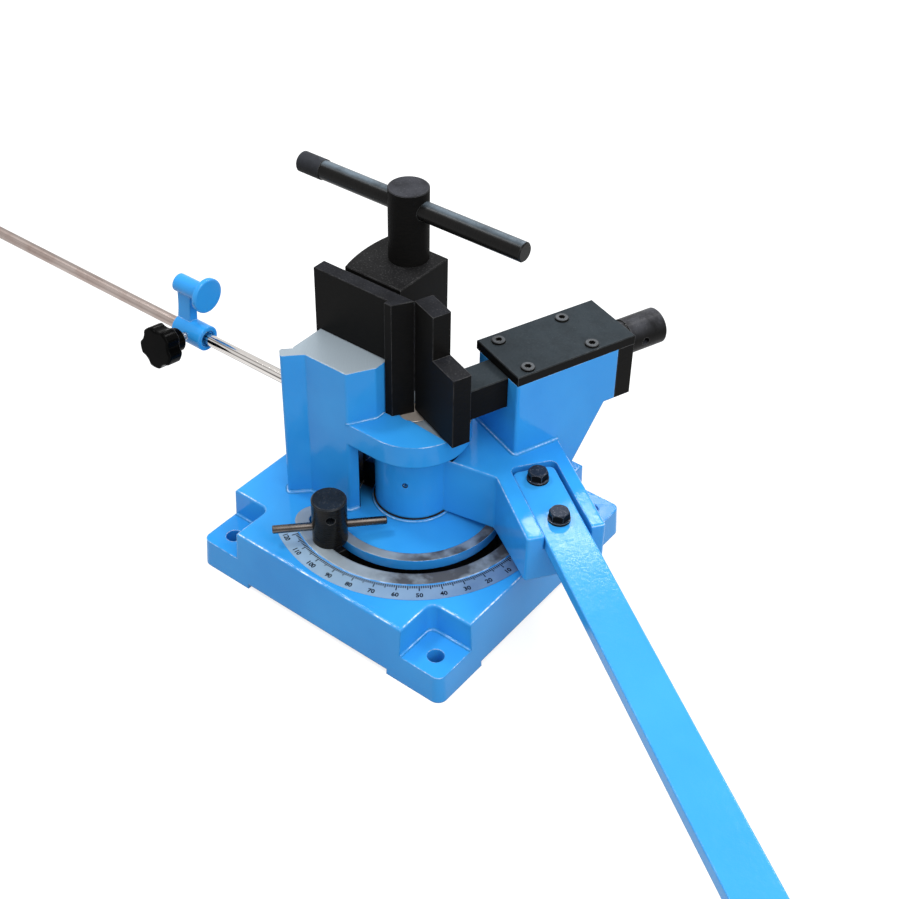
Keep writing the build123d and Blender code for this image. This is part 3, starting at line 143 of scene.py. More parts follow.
class Graph(Wiring):
    """Short calls that write one material round a Principled shader."""

    # How well the softened and the true normal agree where an edge begins, and where it is full
    EDGE = (0.995, 0.80)
    # How far up an edge's softened normal points where it begins to count as level, and where it does
    LEVEL = (0.15, 0.5)
    # Rays that find each softened normal
    SAMPLES = 6

    def __init__(self, name: str) -> None:
        """Starts the material.

        Args:
            name: The finish's name.
        """
        self.material = bpy.data.materials.new("finish_" + name)
        self.material.use_nodes = True
        super().__init__(self.material.node_tree)
        self.shader = self.tree.nodes["Principled BSDF"]
        self.place: Socket = self.node("ShaderNodeTexCoord").outputs["Object"]
        surface = self.node("ShaderNodeNewGeometry")
        self.normal: Socket = surface.outputs["Normal"]
        self.facet: Socket = surface.outputs["True Normal"]

    def set(self, **inputs: object) -> None:
        """Feeds the shader's inputs, with underscores for the spaces in their names."""
        for name, value in inputs.items():
            self.feed(self.shader.inputs[name.replace("_", " ")], value)

    def span(
        self, value: Socket, low: float, high: float, start: float = 0.0, end: float = 1.0
    ) -> Socket:
        """Maps a value so that low becomes start and high becomes end, and holds it at both."""
        inputs = {"Value": value, "From Min": low, "From Max": high, "To Min": start, "To Max": end}
        return self.out("ShaderNodeMapRange", inputs)

    def noise(
        self,
        scale: float,
        detail: float,
        stretch: Point | None = None,
        at: Socket | None = None,
        turn: float = 0.0,
    ) -> Socket:
        """Adds a noise pattern on the object's own coordinates.

        Args:
            scale: Cells in a metre.
            detail: Octaves of finer noise.
            stretch: Scale along each axis, for marks that run one way.
            at: Other coordinates to use.
            turn: Degrees about Z from X to the way that the marks run.

        Returns:
            The pattern, about 0.5 on average.
        """
        where = at or self.place
        if turn:
            inputs = {"Vector": where, "Rotation": (0.0, 0.0, -math.radians(turn))}
            where = self.out("ShaderNodeMapping", inputs)
        if stretch:
            where = self.out("ShaderNodeMapping", {"Vector": where, "Scale": stretch})
        return self.out("ShaderNodeTexNoise", {"Vector": where, "Scale": scale, "Detail": detail})

    def relief(self, height: Socket, depth: float, normal: Socket) -> Socket:
        """Adds relief of a depth in metres to a normal."""
        inputs = {"Height": height, "Distance": depth, "Strength": 1.0, "Normal": normal}
        return self.out("ShaderNodeBump", inputs)

    def rounding(self, radius: float) -> Socket:
        """The normal with every sharp edge softened to a radius in metres."""
        return self.out("ShaderNodeBevel", {"Radius": radius}, samples=self.SAMPLES)

    def measure(self, operation: str, *vectors: object) -> Socket:
        """A number that vectors give, such as a length."""
        made = self.node("ShaderNodeVectorMath", dict(enumerate(vectors)), operation=operation)
        return made.outputs["Value"]

    def edges(self, radius: float, level: bool = False) -> Socket:
        """A mask that is 1 on edges and 0 on open faces.

        Args:
            radius: How far the mask reaches from an edge, in metres.
            level: Whether upright edges are left out.

        Returns:
            The mask.
        """
        soft = self.rounding(radius)
        mask = self.span(self.measure("DOT_PRODUCT", soft, self.normal), *self.EDGE)
        return self.times(mask, self.span(self.upward(soft), *self.LEVEL)) if level else mask

    def upward(self, normal: Socket) -> Socket:
        """How far a normal points up."""
        return self.split(normal)[2]

    def axes(self) -> tuple[Socket, ...]:
        """The object's coordinates as three numbers."""
        return self.split(self.place)

    def radius(self) -> Socket:
        """The distance from the swing pivot."""
        return self.measure("LENGTH", self.join(*self.axes()[:2]))


class Pattern(Enum):
    """Noise patterns: cells in a metre, octaves of finer noise and, if mapped, the ends of the range."""

    CAST_WAVES = (26.0, 1.0)
    ORANGE_PEEL = (220.0, 2.0)
    PAINT_DOTS = (340.0, 1.0, 0.40, 0.58)
    PAINT_PATCHES = (60.0, 3.0, 0.42, 0.58)
    PAINT_TINT = (11.0, 3.0, 0.35, 0.65)
    PAINT_GLOSS = (90.0, 2.0, *SPREAD)
    TURNING = (1500.0, 1.0)
    OIL_PATCHES = (38.0, 4.0, 0.34, 0.56)
    MACHINING = (150.0, 3.0)
    SMEARS = (48.0, 4.0, 0.36, 0.66)
    DUST = (320.0, 4.0, 0.34, 0.62)
    SPECKS = (650.0, 4.0, 0.58, 0.74)
    RUBBING = (120.0, 3.0, 0.30, 0.60)
    TOOL_MARKS = (500.0, 2.0)
    STEEL_STAINS = (45.0, 3.0, 0.4, 0.7)
    DRAWN_LINES = (1.0, 1.0, 0.42, 0.60)
    PLASTIC_GRAIN = (900.0, 2.0)
    PLASTIC_PATCHES = (70.0, 3.0, 0.42, 0.7)
    PLASTIC_GLOSS = (160.0, 2.0, *SPREAD)

    def raw(self, graph: Graph, **options: object) -> Socket:
        """The pattern's plain noise in a material."""
        return graph.noise(*self.value[:2], **options)

    def on(self, graph: Graph, start: float = 0.0, end: float = 1.0, **options: object) -> Socket:
        """The pattern in a material, mapped to a range."""
        return graph.span(self.raw(graph, **options), *self.value[2:], start, end)


@dataclass(frozen=True)
class Lands:
    """Level faces of a painted casting that are milled or turned bare, and the places where shade is
    painted on it.

    Attributes:
        heights: Where the faces lie.
        oily: The height below which the faces are handled and oily.
        worked: The X where that oil begins to lie thick, and where it is thickest.
        throat: The radius of the bore that clears the arm's hub, whose wall is painted near-black as
            shade.
        table: The height where that bore ends.
        shade_band: The Y where painted shade on the base behind the throat begins, is full, starts to
            fade and ends.
        behind: The X left of which that shade lies.
        reach: How far from the pivot it lies.
        roof: The height of the hollow underside's roof.
        long_half: Half the length of each arm of the cross-shaped hollow.
        wide_half: Half the width of each arm of the hollow.
        raw: The near-black colour painted as shade in the hollow underside, which is also unpainted, on
            the bore round the hub and on the band behind it.
        steel: The faces' colour where they are clean.
        stain: Their colour where they are oily.
        groove: Their colour in the tool marks.
        rough: Least and most roughness.
        metal: How metallic the faces are.
    """

    heights: tuple[float, ...]
    oily: float
    worked: Pair
    throat: float
    table: float
    shade_band: tuple[float, float, float, float]
    behind: float
    reach: float
    roof: float
    long_half: float
    wide_half: float
    raw: Colour = srgb(14, 12, 11)
    steel: Colour = srgb(170, 184, 194)
    stain: Colour = srgb(84, 86, 90)
    groove: Colour = srgb(84, 84, 86)
    rough: Pair = (0.34, 0.50)
    metal: float = 0.4

    # How strongly tool marks show, and how much oil lies where it isn't thick
    MARKS = 0.25
    TRACE = 0.25
    # How far a face may lie from its height and a bore's wall from its radius
    FACE_SLACK = 0.0004
    BORE_SLACK = 0.0008
    # How far up a level face points at least, and a wall at most
    LEVEL = 0.998
    UPRIGHT = 0.1

    def mask(self, graph: Graph) -> Socket:
        """A mask that is 1 on the bare faces.

        Args:
            graph: The material under way.

        Returns:
            The mask.
        """
        z = graph.axes()[2]
        level = graph.math("GREATER_THAN", graph.upward(graph.facet), self.LEVEL)
        faces = [graph.near(z, height, self.FACE_SLACK) for height in self.heights]
        return graph.times(level, graph.most(*faces))

    def inside(self, graph: Graph) -> Socket:
        """A mask that is 1 where shade is painted: in the hollow underside, on the bore round the hub
        and on a band of the base behind it.

        Args:
            graph: The material under way.

        Returns:
            The mask.
        """
        x, y, z = graph.axes()
        away = graph.radius()
        sides = graph.math("ABSOLUTE", x), graph.math("ABSOLUTE", y)
        far = graph.below(graph.math("MAXIMUM", *sides), self.long_half)
        near = graph.below(graph.math("MINIMUM", *sides), self.wide_half)
        # Painted shade: the hollow underside, the bore's wall round the hub and a band of base behind it
        hollow = graph.times(graph.below(z, self.roof), far, near)
        low = graph.below(z, self.table)
        wall = graph.below(graph.upward(graph.facet), self.UPRIGHT)
        bore = graph.times(graph.near(away, self.throat, self.BORE_SLACK), wall, low)
        # The band of painted shade on the base behind the throat
        oil = graph.times(graph.span(y, *self.shade_band[:2]), graph.span(y, *self.shade_band[2:], 1.0, 0.0))
        spread = graph.times(graph.below(x, self.behind), graph.below(away, self.reach), low)
        return graph.most(hollow, bore, graph.times(oil, spread))

    def turned(self, graph: Graph) -> Socket:
        """The tool marks, in rings round the pivot."""
        return Pattern.TURNING.raw(graph, at=graph.join(graph.radius()))

    def colour(self, graph: Graph, turned: Socket) -> Socket:
        """The bare steel's colour.

        Args:
            graph: The material under way.
            turned: The pattern of the tool marks.

        Returns:
            The colour.
        """
        x, _, z = graph.axes()
        thick = graph.times(graph.below(z, self.oily), graph.span(x, *self.worked, self.TRACE, 1.0))
        oil = graph.times(Pattern.OIL_PATCHES.on(graph), thick)
        steel = graph.blend(oil, self.steel, self.stain)
        return graph.blend(graph.times(turned, self.MARKS), steel, self.groove)


@dataclass(frozen=True)
class ArmShade:
    """Painted shade on the arm: dark in its oil hole and in the corner round the top of its hub, under
    the table.

    Attributes:
        hole: The middle of the oil hole's mouth.
        spot: How far the painted shade reaches from there, thinning out, and how far it is full.
        ring: The distance from the pivot where the painted shade round the hub ends and where it is
            full.
        heights: The lowest and highest point of that shade.
        colour: The painted shade's colour.
    """

    hole: Point
    spot: Pair
    ring: Pair
    heights: Pair
    colour: Colour = srgb(14, 16, 20)

    def mask(self, graph: Graph) -> Socket:
        """A mask that is 1 where the shade is painted.

        Args:
            graph: The material under way.

        Returns:
            The mask.
        """
        low, high = self.heights
        level = graph.near(graph.axes()[2], (low + high) / 2, (high - low) / 2)
        ring = graph.times(level, graph.span(graph.radius(), *self.ring))
        away = graph.measure("DISTANCE", graph.place, self.hole)
        return graph.most(graph.span(away, *self.spot), ring)


@dataclass(frozen=True)
class Bore:
    """A bore with its axis along X that only a thin, matt coat of paint has reached."""

    y: float
    z: float
    radius: float
    colour: Colour = srgb(58, 152, 220)
    rough: float = 0.7

    def mask(self, graph: Graph) -> Socket:
        """A mask that is 1 in the bore."""
        across = graph.join(0.0, *graph.axes()[1:])
        return graph.below(graph.measure("DISTANCE", across, (0.0, self.y, self.z)), self.radius)


class Glint(Enum):
    """Where pale glints are painted on a painted piece, partly over thinner paint on edges."""

    SHARP = "on sharp edges"
    ROUND = "on sharp edges and along fillets"
    COVE = "along fillets alone"


@dataclass(frozen=True)
class Coat:
    """What every finish has.

    Attributes:
        name: Its name.
        rough: Least and most roughness.
        shine: How strongly it reflects.
        rounding: How far edges are softened, in metres.
    """

    name: str
    rough: Pair
    shine: float
    rounding: float

    def material(self) -> bpy.types.Material:
        """Writes the finish's material.

        Returns:
            The finished material.
        """
        graph = Graph(self.name)
        graph.set(Specular_IOR_Level=self.shine)
        self.write(graph)
        return graph.material

    def write(self, graph: Graph) -> None:
        """Writes the finish's own nodes into a material."""
        raise NotImplementedError


@dataclass(frozen=True)
class Enamel(Coat):
    """Glossy blue enamel over cast or rolled steel.

    Attributes:
        body: The paint's colour.
        deep: Its colour where it lies thick.
        glint_colour: Its pale colour on level edges, where the paint thins and a glint is painted, and
            along fillets, where a glint is painted.
        wave: Depth of the casting's waviness, in metres.
        peel: Depth of the paint's orange peel, in metres.
        thin: How much of an edge or fillet shows that pale colour.
        glint: Which edges show it.
        lands: Bare faces, if any.
        oil: Painted shade on the arm, if any.
        bore: A thinly painted bore, if any.
    """

    rough: Pair = (0.08, 0.18)
    shine: float = 0.2
    rounding: float = 0.0022
    body: Colour = srgb(53, 153, 224)
    deep: Colour = srgb(44, 142, 216)
    glint_colour: Colour = srgb(232, 246, 255)
    wave: float = 0.00035
    peel: float = 0.00005
    thin: float = 1.0
    glint: Glint = Glint.SHARP
    lands: Lands | None = None
    oil: ArmShade | None = None
    bore: Bore | None = None

    # The share of an edge's rounding that thinner paint and the painted glint cover
    EDGE = 0.75
    # How far up a fillet points where its glint begins and is full, and where it ends and is full
    RISE = (0.5, 0.64)
    FALL = (0.9, 0.78)
    # The least and the most of the painted glint that its fine dots leave, and the least in any patch
    DOTS = (0.4, 1.0)
    LEAST = 0.1

    def line(self, graph: Graph) -> Socket:
        """A mask that is 1 along the edges and fillets where a glint is painted.

        Args:
            graph: The material under way.

        Returns:
            The mask.
        """
        lines = []
        # Glints are painted on level edges and on fillets that face partly up
        if self.glint is not Glint.COVE:
            lines.append(graph.edges(self.EDGE * self.rounding, level=True))
        if self.glint is not Glint.SHARP:
            facing = graph.upward(graph.normal)
            lines.append(graph.times(graph.span(facing, *self.RISE), graph.span(facing, *self.FALL)))
        return graph.most(*lines)

    def write(self, graph: Graph) -> None:
        """Writes the paint and its painted glints, then what lies bare, the painted shade and the thinly
        painted bore.

        Args:
            graph: The material under way.
        """
        # Pale glints painted along level edges, over thinner paint, and along the middle of fillets
        dots = Pattern.PAINT_DOTS.on(graph, *self.DOTS)
        patch = Pattern.PAINT_PATCHES.on(graph, self.LEAST, self.thin)
        colour = graph.blend(Pattern.PAINT_TINT.on(graph), self.deep, self.body)
        colour = graph.blend(graph.times(self.line(graph), dots, patch), colour, self.glint_colour)
        rough = Pattern.PAINT_GLOSS.on(graph, *self.rough)
        normal = graph.rounding(self.rounding)
        normal = graph.relief(Pattern.CAST_WAVES.raw(graph), self.wave, normal)
        normal = graph.relief(Pattern.ORANGE_PEEL.raw(graph), self.peel, normal)
        if self.lands:
            bare = self.lands.mask(graph)
            turned = self.lands.turned(graph)
            colour = graph.blend(bare, colour, self.lands.colour(graph, turned))
            rough = graph.mix(bare, rough, graph.span(turned, *SPREAD, *self.lands.rough))
            graph.set(Metallic=graph.times(bare, self.lands.metal))
            # Near-black painted shade in the hollow, on the hub's bore and behind it
            colour = graph.blend(self.lands.inside(graph), colour, self.lands.raw)
        # Painted shade on the arm: in its oil hole and under the table round the top of its hub
        if self.oil:
            colour = graph.blend(self.oil.mask(graph), colour, self.oil.colour)
        if self.bore:
            within = self.bore.mask(graph)
            colour = graph.blend(within, colour, self.bore.colour)
            rough = graph.mix(within, rough, self.bore.rough)
            normal = graph.blend(within, normal, graph.normal)
        graph.set(Base_Color=colour, Roughness=rough, Normal=normal)


@dataclass(frozen=True)
class BlackOxide(Coat):
    """Machined steel with a black oxide skin, oiled and rubbed bright on its edges.

    Attributes:
        body: The skin's colour.
        brown: Its colour in the machining marks.
        dust_and_sheen: Its colour on upward faces: dust, and a painted sheen of light from above.
        worn: The steel that shows through on edges.
        grain: Stretch of the machining marks along each axis.
        lit: How far up a face points where that colour begins, and where it is full.
        fade: The power by which it fades between the two.
        smears: Its least and greatest strength.
        speck: How strongly fine pale specks of painted sparkle show on the upward faces.
        wear: How strongly edges are rubbed.
        sleeve: The X below which a bar wears a matt sleeve, if it has one.
    """

    rough: Pair = (0.34, 0.52)
    shine: float = 0.035
    rounding: float = 0.0006
    body: Colour = srgb(15, 15, 15)
    brown: Colour = srgb(22, 21, 20)
    dust_and_sheen: Colour = srgb(37, 38, 42)
    worn: Colour = srgb(112, 112, 112)
    grain: Point = (1.0, 1.0, 14.0)
    lit: Pair = (0.4, 0.97)
    fade: float = 1.0
    smears: Pair = (0.6, 1.2)
    speck: float = 0.36
    wear: float = 1.0
    sleeve: float | None = None

    # Depth of the machining marks, in metres, and the part of their range that turns brown
    DEPTH = 0.00002
    SHADES = (0.35, 0.65)
    # How fine dust varies the colour of upward faces
    DUST = (0.9, 1.04)
    # Reach of the rubbing from an edge, in metres, its least strength, and how metallic it is
    EDGE = 0.0009
    LEAST = 0.15
    METAL = 0.8
    # A sleeve's roughness and its colour painted as light from above, how far up a lit face points, and
    # how strong the colour is
    SLEEVE_ROUGH = 0.62
    SLEEVE_COLOUR = srgb(44, 46, 51)
    SLEEVE_LIT = (-0.2, 0.9, 0.2, 1.0)

    def write(self, graph: Graph) -> None:
        """Writes the skin, the dust and painted sheen on its upward faces, and its rubbed edges.

        Args:
            graph: The material under way.
        """
        marks = Pattern.MACHINING.raw(graph, stretch=self.grain)
        facing = graph.upward(graph.normal)
        dust = graph.times(Pattern.SMEARS.on(graph, *self.smears), Pattern.DUST.on(graph, *self.DUST))
        # Upward faces turn lighter: dust, and a painted sheen of light from above
        upward_dust_and_sheen = graph.times(graph.math("POWER", graph.span(facing, *self.lit), self.fade), dust)
        skin = graph.blend(graph.span(marks, *self.SHADES), self.body, self.brown)
        skin = graph.blend(upward_dust_and_sheen, skin, self.dust_and_sheen)
        # Fine pale specks of painted sparkle in that sheen
        specks = graph.times(upward_dust_and_sheen, Pattern.SPECKS.on(graph, 0.0, self.speck))
        skin = graph.blend(specks, skin, self.worn)
        rubbed = graph.times(graph.edges(self.EDGE), Pattern.RUBBING.on(graph, self.LEAST, self.wear))
        rough = graph.span(marks, *SPREAD, *self.rough)
        if self.sleeve is not None:
            covered = graph.below(graph.axes()[0], self.sleeve)
            rough = graph.mix(covered, rough, self.SLEEVE_ROUGH)
            # The sleeve is painted lighter on its upper side, as if lit from above
            sleeve_top_light = graph.times(covered, dust, graph.span(facing, *self.SLEEVE_LIT))
            skin = graph.blend(sleeve_top_light, skin, self.SLEEVE_COLOUR)
        graph.set(
            Base_Color=graph.blend(rubbed, skin, self.worn),
            Roughness=rough,
            Metallic=graph.times(rubbed, self.METAL),
            Normal=graph.relief(marks, self.DEPTH, graph.rounding(self.rounding)),
        )


@dataclass(frozen=True)
class BareSteel(Coat):
    """Bare steel or bronze, turned, ground or polished.

    Attributes:
        clean: Colour where it is bright.
        dull: Colour where it is stained.
        grain: Stretch of the tool marks along each axis.
        metal: How metallic it is.
        stain: Where along X the stain begins and is full, if it lies to one side.
        streak: How strong the dark lines along a bar are: drawn marks, and painted dark reflections.
        turn: Degrees about Z from X to that bar's axis.
        dark: Those lines' colour.
    """

    rough: Pair = (0.28, 0.42)
    shine: float = 0.5
    rounding: float = 0.0004
    clean: Colour = srgb(196, 198, 200)
    dull: Colour = srgb(120, 112, 104)
    grain: Point = (1.0, 1.0, 1.0)
    metal: float = 1.0
    stain: Pair | None = None
    streak: float = 0.0
    turn: float = 0.0
    dark: Colour = srgb(58, 54, 54)

    # Depth of the tool marks, in metres
    DEPTH = 0.00001
    # How strongly stains show
    MOST = 0.55
    # The share of them that shows on a clean side, and the least and the most on a stained one
    FAINT = 0.15
    HEAVY = (0.75, 1.0)
    # The roughness of a stained side
    STAINED = 0.36
    # Stretch of a bar's dark lines, and how much of them shows on a clean and on a stained side
    LINE_STRETCH = (3.0, 300.0, 300.0)
    SHOWN = (1.0, 0.3)

    def write(self, graph: Graph) -> None:
        """Writes the steel, its stains and its drawn lines.

        Args:
            graph: The material under way.
        """
        marks = Pattern.TOOL_MARKS.raw(graph, stretch=self.grain)
        patch = Pattern.STEEL_STAINS.on(graph, 0.0, self.MOST)
        rough = graph.span(marks, *SPREAD, *self.rough)
        shown: object = 1.0
        if self.stain:
            along = graph.span(graph.axes()[0], *self.stain)
            heavy = graph.span(patch, 0.0, self.MOST, *self.HEAVY)
            patch = graph.mix(along, graph.times(patch, self.FAINT), heavy)
            rough = graph.mix(along, rough, self.STAINED)
            shown = graph.span(along, 0.0, 1.0, *self.SHOWN)
        colour = graph.blend(patch, self.clean, self.dull)
        # Dark lines along the bar: drawn marks, and painted dark reflections
        if self.streak:
            lines = Pattern.DRAWN_LINES.on(graph, 0.0, self.streak, stretch=self.LINE_STRETCH, turn=self.turn)
            colour = graph.blend(graph.times(lines, shown), colour, self.dark)
        normal = graph.relief(marks, self.DEPTH, graph.rounding(self.rounding))
        graph.set(Base_Color=colour, Roughness=rough, Normal=normal, Metallic=self.metal)


@dataclass(frozen=True)
class Moulding(Coat):
    """Dark plastic, grease or printing ink.

    Attributes:
        body: Its colour.
        dust: Its colour where dust or wear greys it.
        grain: Depth of the fine grain, in metres.
        rub_and_glint: Its pale colour on edges, where hands have rubbed them and where highlights are
            painted, if any.
    """

    rough: Pair = (0.16, 0.30)
    shine: float = 0.04
    rounding: float = 0.0008
    body: Colour = srgb(5, 5, 5)
    dust: Colour = srgb(12, 10, 9)
    grain: float = 0.00002
    rub_and_glint: Colour | None = None

    # How strongly dust greys it
    MOST = 0.6
    # Reach of the rubbing and painted highlight from an edge, in metres, and its strength where it is
    # clean and where greyed
    EDGE = 0.0014
    RUBBED = (0.7, 0.3)

    def write(self, graph: Graph) -> None:
        """Writes the moulding, its dust, and its pale edges of rubbing and painted highlight.

        Args:
            graph: The material under way.
        """
        patch = Pattern.PLASTIC_PATCHES.on(graph, 0.0, self.MOST)
        colour = graph.blend(patch, self.body, self.dust)
        # Pale edges: rubbing, and highlights painted along the knob's lobes
        if self.rub_and_glint:
            clean = graph.span(patch, 0.0, self.MOST, *self.RUBBED)
            colour = graph.blend(graph.times(graph.edges(self.EDGE), clean), colour, self.rub_and_glint)
        fine = Pattern.PLASTIC_GRAIN.raw(graph)
        normal = graph.relief(fine, self.grain, graph.rounding(self.rounding))
        rough = Pattern.PLASTIC_GLOSS.on(graph, *self.rough)
        graph.set(Base_Color=colour, Roughness=rough, Normal=normal)


class Finish(Enum):
    """The finishes on the machine, each made once."""

    CAST_BASE = Enamel(
        "cast_base_enamel",
        shine=0.17,
        glint=Glint.ROUND,
        lands=Lands(
            heights=(0.064, 0.171, 0.230),
            oily=0.2,
            worked=(0.03, 0.06),
            # Where shade is painted: the hub's bore, the band behind it and the hollow underside
            throat=0.055,
            table=0.147,
            shade_band=(-0.034, -0.018, 0.012, 0.030),
            behind=-0.025,
            reach=0.08,
            roof=0.0525,
            long_half=0.1395,
            wide_half=0.095,
        ),
    )
    ARM_ENAMEL = Enamel(
        "arm_enamel",
        # A little lighter than the base's blue: painted light, to make up for the shade on the hub and
        # web
        body=srgb(55, 157, 229),
        deep=srgb(46, 146, 221),
        peel=0.00013,
        rough=(0.09, 0.15),
        thin=0.5,
        glint=Glint.ROUND,
        # Painted shade in the oil hole and round the top of the hub
        oil=ArmShade(
            hole=(0.01657, -0.03475, 0.1115),
            spot=(0.0031, 0.002635),
            ring=(0.0475, 0.0462),
            heights=(0.1343, 0.1475),
        ),
    )
    CAST_ENAMEL = Enamel("cast_enamel", thin=0.6, bore=Bore(y=-0.046, z=0.180, radius=0.0087))
    COVE_ENAMEL = Enamel("cove_enamel", shine=0.25, thin=0.55, glint=Glint.COVE)
    BAR_ENAMEL = Enamel(
        "bar_enamel",
        body=srgb(60, 158, 228),
        deep=srgb(54, 152, 222),
        wave=0.0001,
        peel=0.0001,
        rough=(0.1, 0.16),
        shine=0.16,
        thin=0.35,
    )
    BLACK = BlackOxide("black_oxide", wear=0.75)
    BLACK_MATT = BlackOxide("black_oxide_matt", dust_and_sheen=srgb(31, 31, 32), speck=0.5)
    BLACK_COVER = BlackOxide(
        "black_oxide_cover", dust_and_sheen=srgb(46, 53, 58), smears=(0.86, 1.06), speck=0.12
    )
    BLACK_ROUND = BlackOxide("black_oxide_turned", dust_and_sheen=srgb(30, 30, 32), grain=(14.0, 1.0, 1.0))
    BLACK_SCREW = BlackOxide(
        "black_oxide_screw",
        dust_and_sheen=srgb(66, 67, 72),
        rough=(0.3, 0.45),
        shine=0.06,
        grain=(14.0, 1.0, 1.0),
        lit=(0.2, 1.0),
        fade=1.5,
        smears=(0.3, 1.3),
    )
    BLACK_STOP = BlackOxide(
        "black_oxide_stop", dust_and_sheen=srgb(32, 38, 46), rough=(0.2, 0.34), shine=0.12
    )
    BLACK_SPINDLE = BlackOxide(
        "black_oxide_spindle", dust_and_sheen=srgb(58, 59, 64), rough=(0.5, 0.65), shine=0.02
    )
    # A painted highlight along the top of the bar
    BLACK_BAR = BlackOxide(
        "black_oxide_bar",
        dust_and_sheen=srgb(98, 110, 120),
        rough=(0.26, 0.36),
        shine=0.1,
        grain=(14.0, 1.0, 1.0),
        lit=(0.72, 1.0),
        fade=2.4,
        wear=0.6,
        sleeve=-0.152,
    )
    BLACK_BOLT = BlackOxide(
        "black_oxide_bolts",
        dust_and_sheen=srgb(36, 46, 62),
        # Pale rubbed edges that also stand in for painted glints on the bolt heads
        worn=srgb(150, 156, 166),
        rough=(0.08, 0.16),
        shine=0.018,
        wear=0.9,
    )
    BLACK_CAP = BlackOxide(
        "black_oxide_caps", dust_and_sheen=srgb(86, 90, 94), rough=(0.2, 0.3), shine=0.06
    )
    GREASE = Moulding(
        "grease", body=srgb(28, 22, 16), dust=srgb(92, 70, 44), rough=(0.3, 0.5), shine=0.15
    )
    BROWNED = BareSteel(
        "browned_steel",
        clean=srgb(104, 98, 94),
        dull=srgb(56, 51, 49),
        rough=(0.22, 0.34),
        streak=0.85,
        turn=46.0,
        dark=srgb(34, 30, 30),
    )
    STEEL = BareSteel("bare_steel")
    PIN = BareSteel("turned_pin", clean=srgb(188, 178, 168), dull=srgb(150, 140, 130), metal=0.35)
    ROD = BareSteel(
        "bright_rod",
        clean=srgb(216, 212, 208),
        dull=srgb(158, 140, 133),
        rough=(0.06, 0.14),
        grain=(6.0, 1.0, 1.0),
        stain=(-0.235, -0.275),
        streak=0.9,
    )
    BRONZE = BareSteel("bronze", clean=srgb(198, 150, 88), dull=srgb(130, 92, 52))
    STRIP = BareSteel(
        "scale_strip",
        clean=srgb(152, 181, 205),
        dull=srgb(100, 132, 172),
        rough=(0.34, 0.46),
        grain=(0.3, 0.3, 1.0),
        metal=0.4,
        # Darker towards +X: a stain, and painted shade where the arm shades the scale
        stain=(0.03, 0.13),
    )
    KNOB = Moulding(
        "black_plastic", rough=(0.08, 0.16), grain=0.000008, shine=0.025, rub_and_glint=srgb(104, 104, 108)
    )
    INK = Moulding(
        "scale_ink", body=srgb(8, 10, 24), dust=srgb(18, 22, 38), rough=(0.4, 0.6), grain=0.000005
    )

    def material(self) -> bpy.types.Material:
        """Finds or writes the finish's material."""
        return bpy.data.materials.get("finish_" + self.value.name) or self.value.material()


Dressing = dict[Finish, tuple[str, ...]]


def placed(name: str, data: bpy.types.ID) -> bpy.types.Object:
    """Makes an object and links it to the scene.

    Args:
        name: The object's name.
        data: Its mesh, text, lamp or camera.

    Returns:
        The object.
    """
    made = bpy.data.objects.new(name, data)
    bpy.context.scene.collection.objects.link(made)
    return made


def plain_mesh(carrier: bpy.types.Object) -> Mesh:
    """Turns an object into a plain mesh and removes the object.

    Args:
        carrier: The object, with whatever modifiers it has.

    Returns:
        The mesh as the modifiers leave it.
    """
    graph = bpy.context.evaluated_depsgraph_get()
    mesh = bpy.data.meshes.new_from_object(carrier.evaluated_get(graph))
    bpy.data.objects.remove(carrier)
    return mesh


def wire(name: str, runs: Iterable[Sequence[Point]], closed: bool = False) -> bpy.types.Object:
    """Makes an object of loose edges, as a path for nodes to follow.

    Args:
        name: The object's name.
        runs: Lines of points.
        closed: Whether each line is a loop.

    Returns:
        The object.
    """
    points: list[Point] = []
    edges: list[tuple[int, int]] = []
    for run in runs:
        start = len(points)
        points += run
        edges += [(i, i + 1) for i in range(start, len(points) - 1)]
        if closed:
            edges.append((len(points) - 1, start))
    mesh = bpy.data.meshes.new(name)
    mesh.from_pydata(points, edges, [])
    return placed(name, mesh)


class NodeTree(Wiring):
    """Short calls that write one Geometry Nodes tree and run it."""

    def __init__(self, name: str, finish: Finish) -> None:
        """Starts the tree.

        Args:
            name: The tree's name.
            finish: The finish of what it makes.
        """
        super().__init__(bpy.data.node_groups.new(name, "GeometryNodeTree"))
        self.finish = finish
        for way in ("INPUT", "OUTPUT"):
            self.tree.interface.new_socket("Geometry", in_out=way, socket_type="NodeSocketGeometry")
        self.start = self.tree.nodes.new("NodeGroupInput")
        self.values: dict[str, object] = {}

    def sizes(self, kind: str, **values: object) -> None:
        """Adds named inputs and keeps their values.

        Args:
            kind: Float, Int or Object.
            **values: What each input is set to, by its name.
        """
        for name, value in values.items():
            made = self.tree.interface.new_socket(name, in_out="INPUT", socket_type="NodeSocket" + kind)
            self.values[made.identifier] = value

    def feed(self, socket: Socket, value: object) -> None:
        """Links or sets one input, from the tree's own input where the value is its name."""
        super().feed(socket, self.start.outputs[value] if isinstance(value, str) else value)

    def run(self, result: Socket, runs: Iterable[Sequence[Point]] = ()) -> Mesh:
        """Ends the tree and turns what it makes into a plain mesh.

        Args:
            result: The geometry to keep.
            runs: Lines of points for the tree to work on, if it needs any.

        Returns:
            The mesh.
        """
        real = self.out("GeometryNodeRealizeInstances", {0: result})
        inputs = {"Geometry": real, "Material": self.finish.material()}
        last = self.out("GeometryNodeSetMaterial", inputs)
        self.node("NodeGroupOutput", {0: last})
        carrier = wire(self.tree.name, runs)
        modifier = carrier.modifiers.new(self.tree.name, "NODES")
        modifier.node_group = self.tree
        for identifier, value in self.values.items():
            modifier[identifier] = value
        return plain_mesh(carrier)


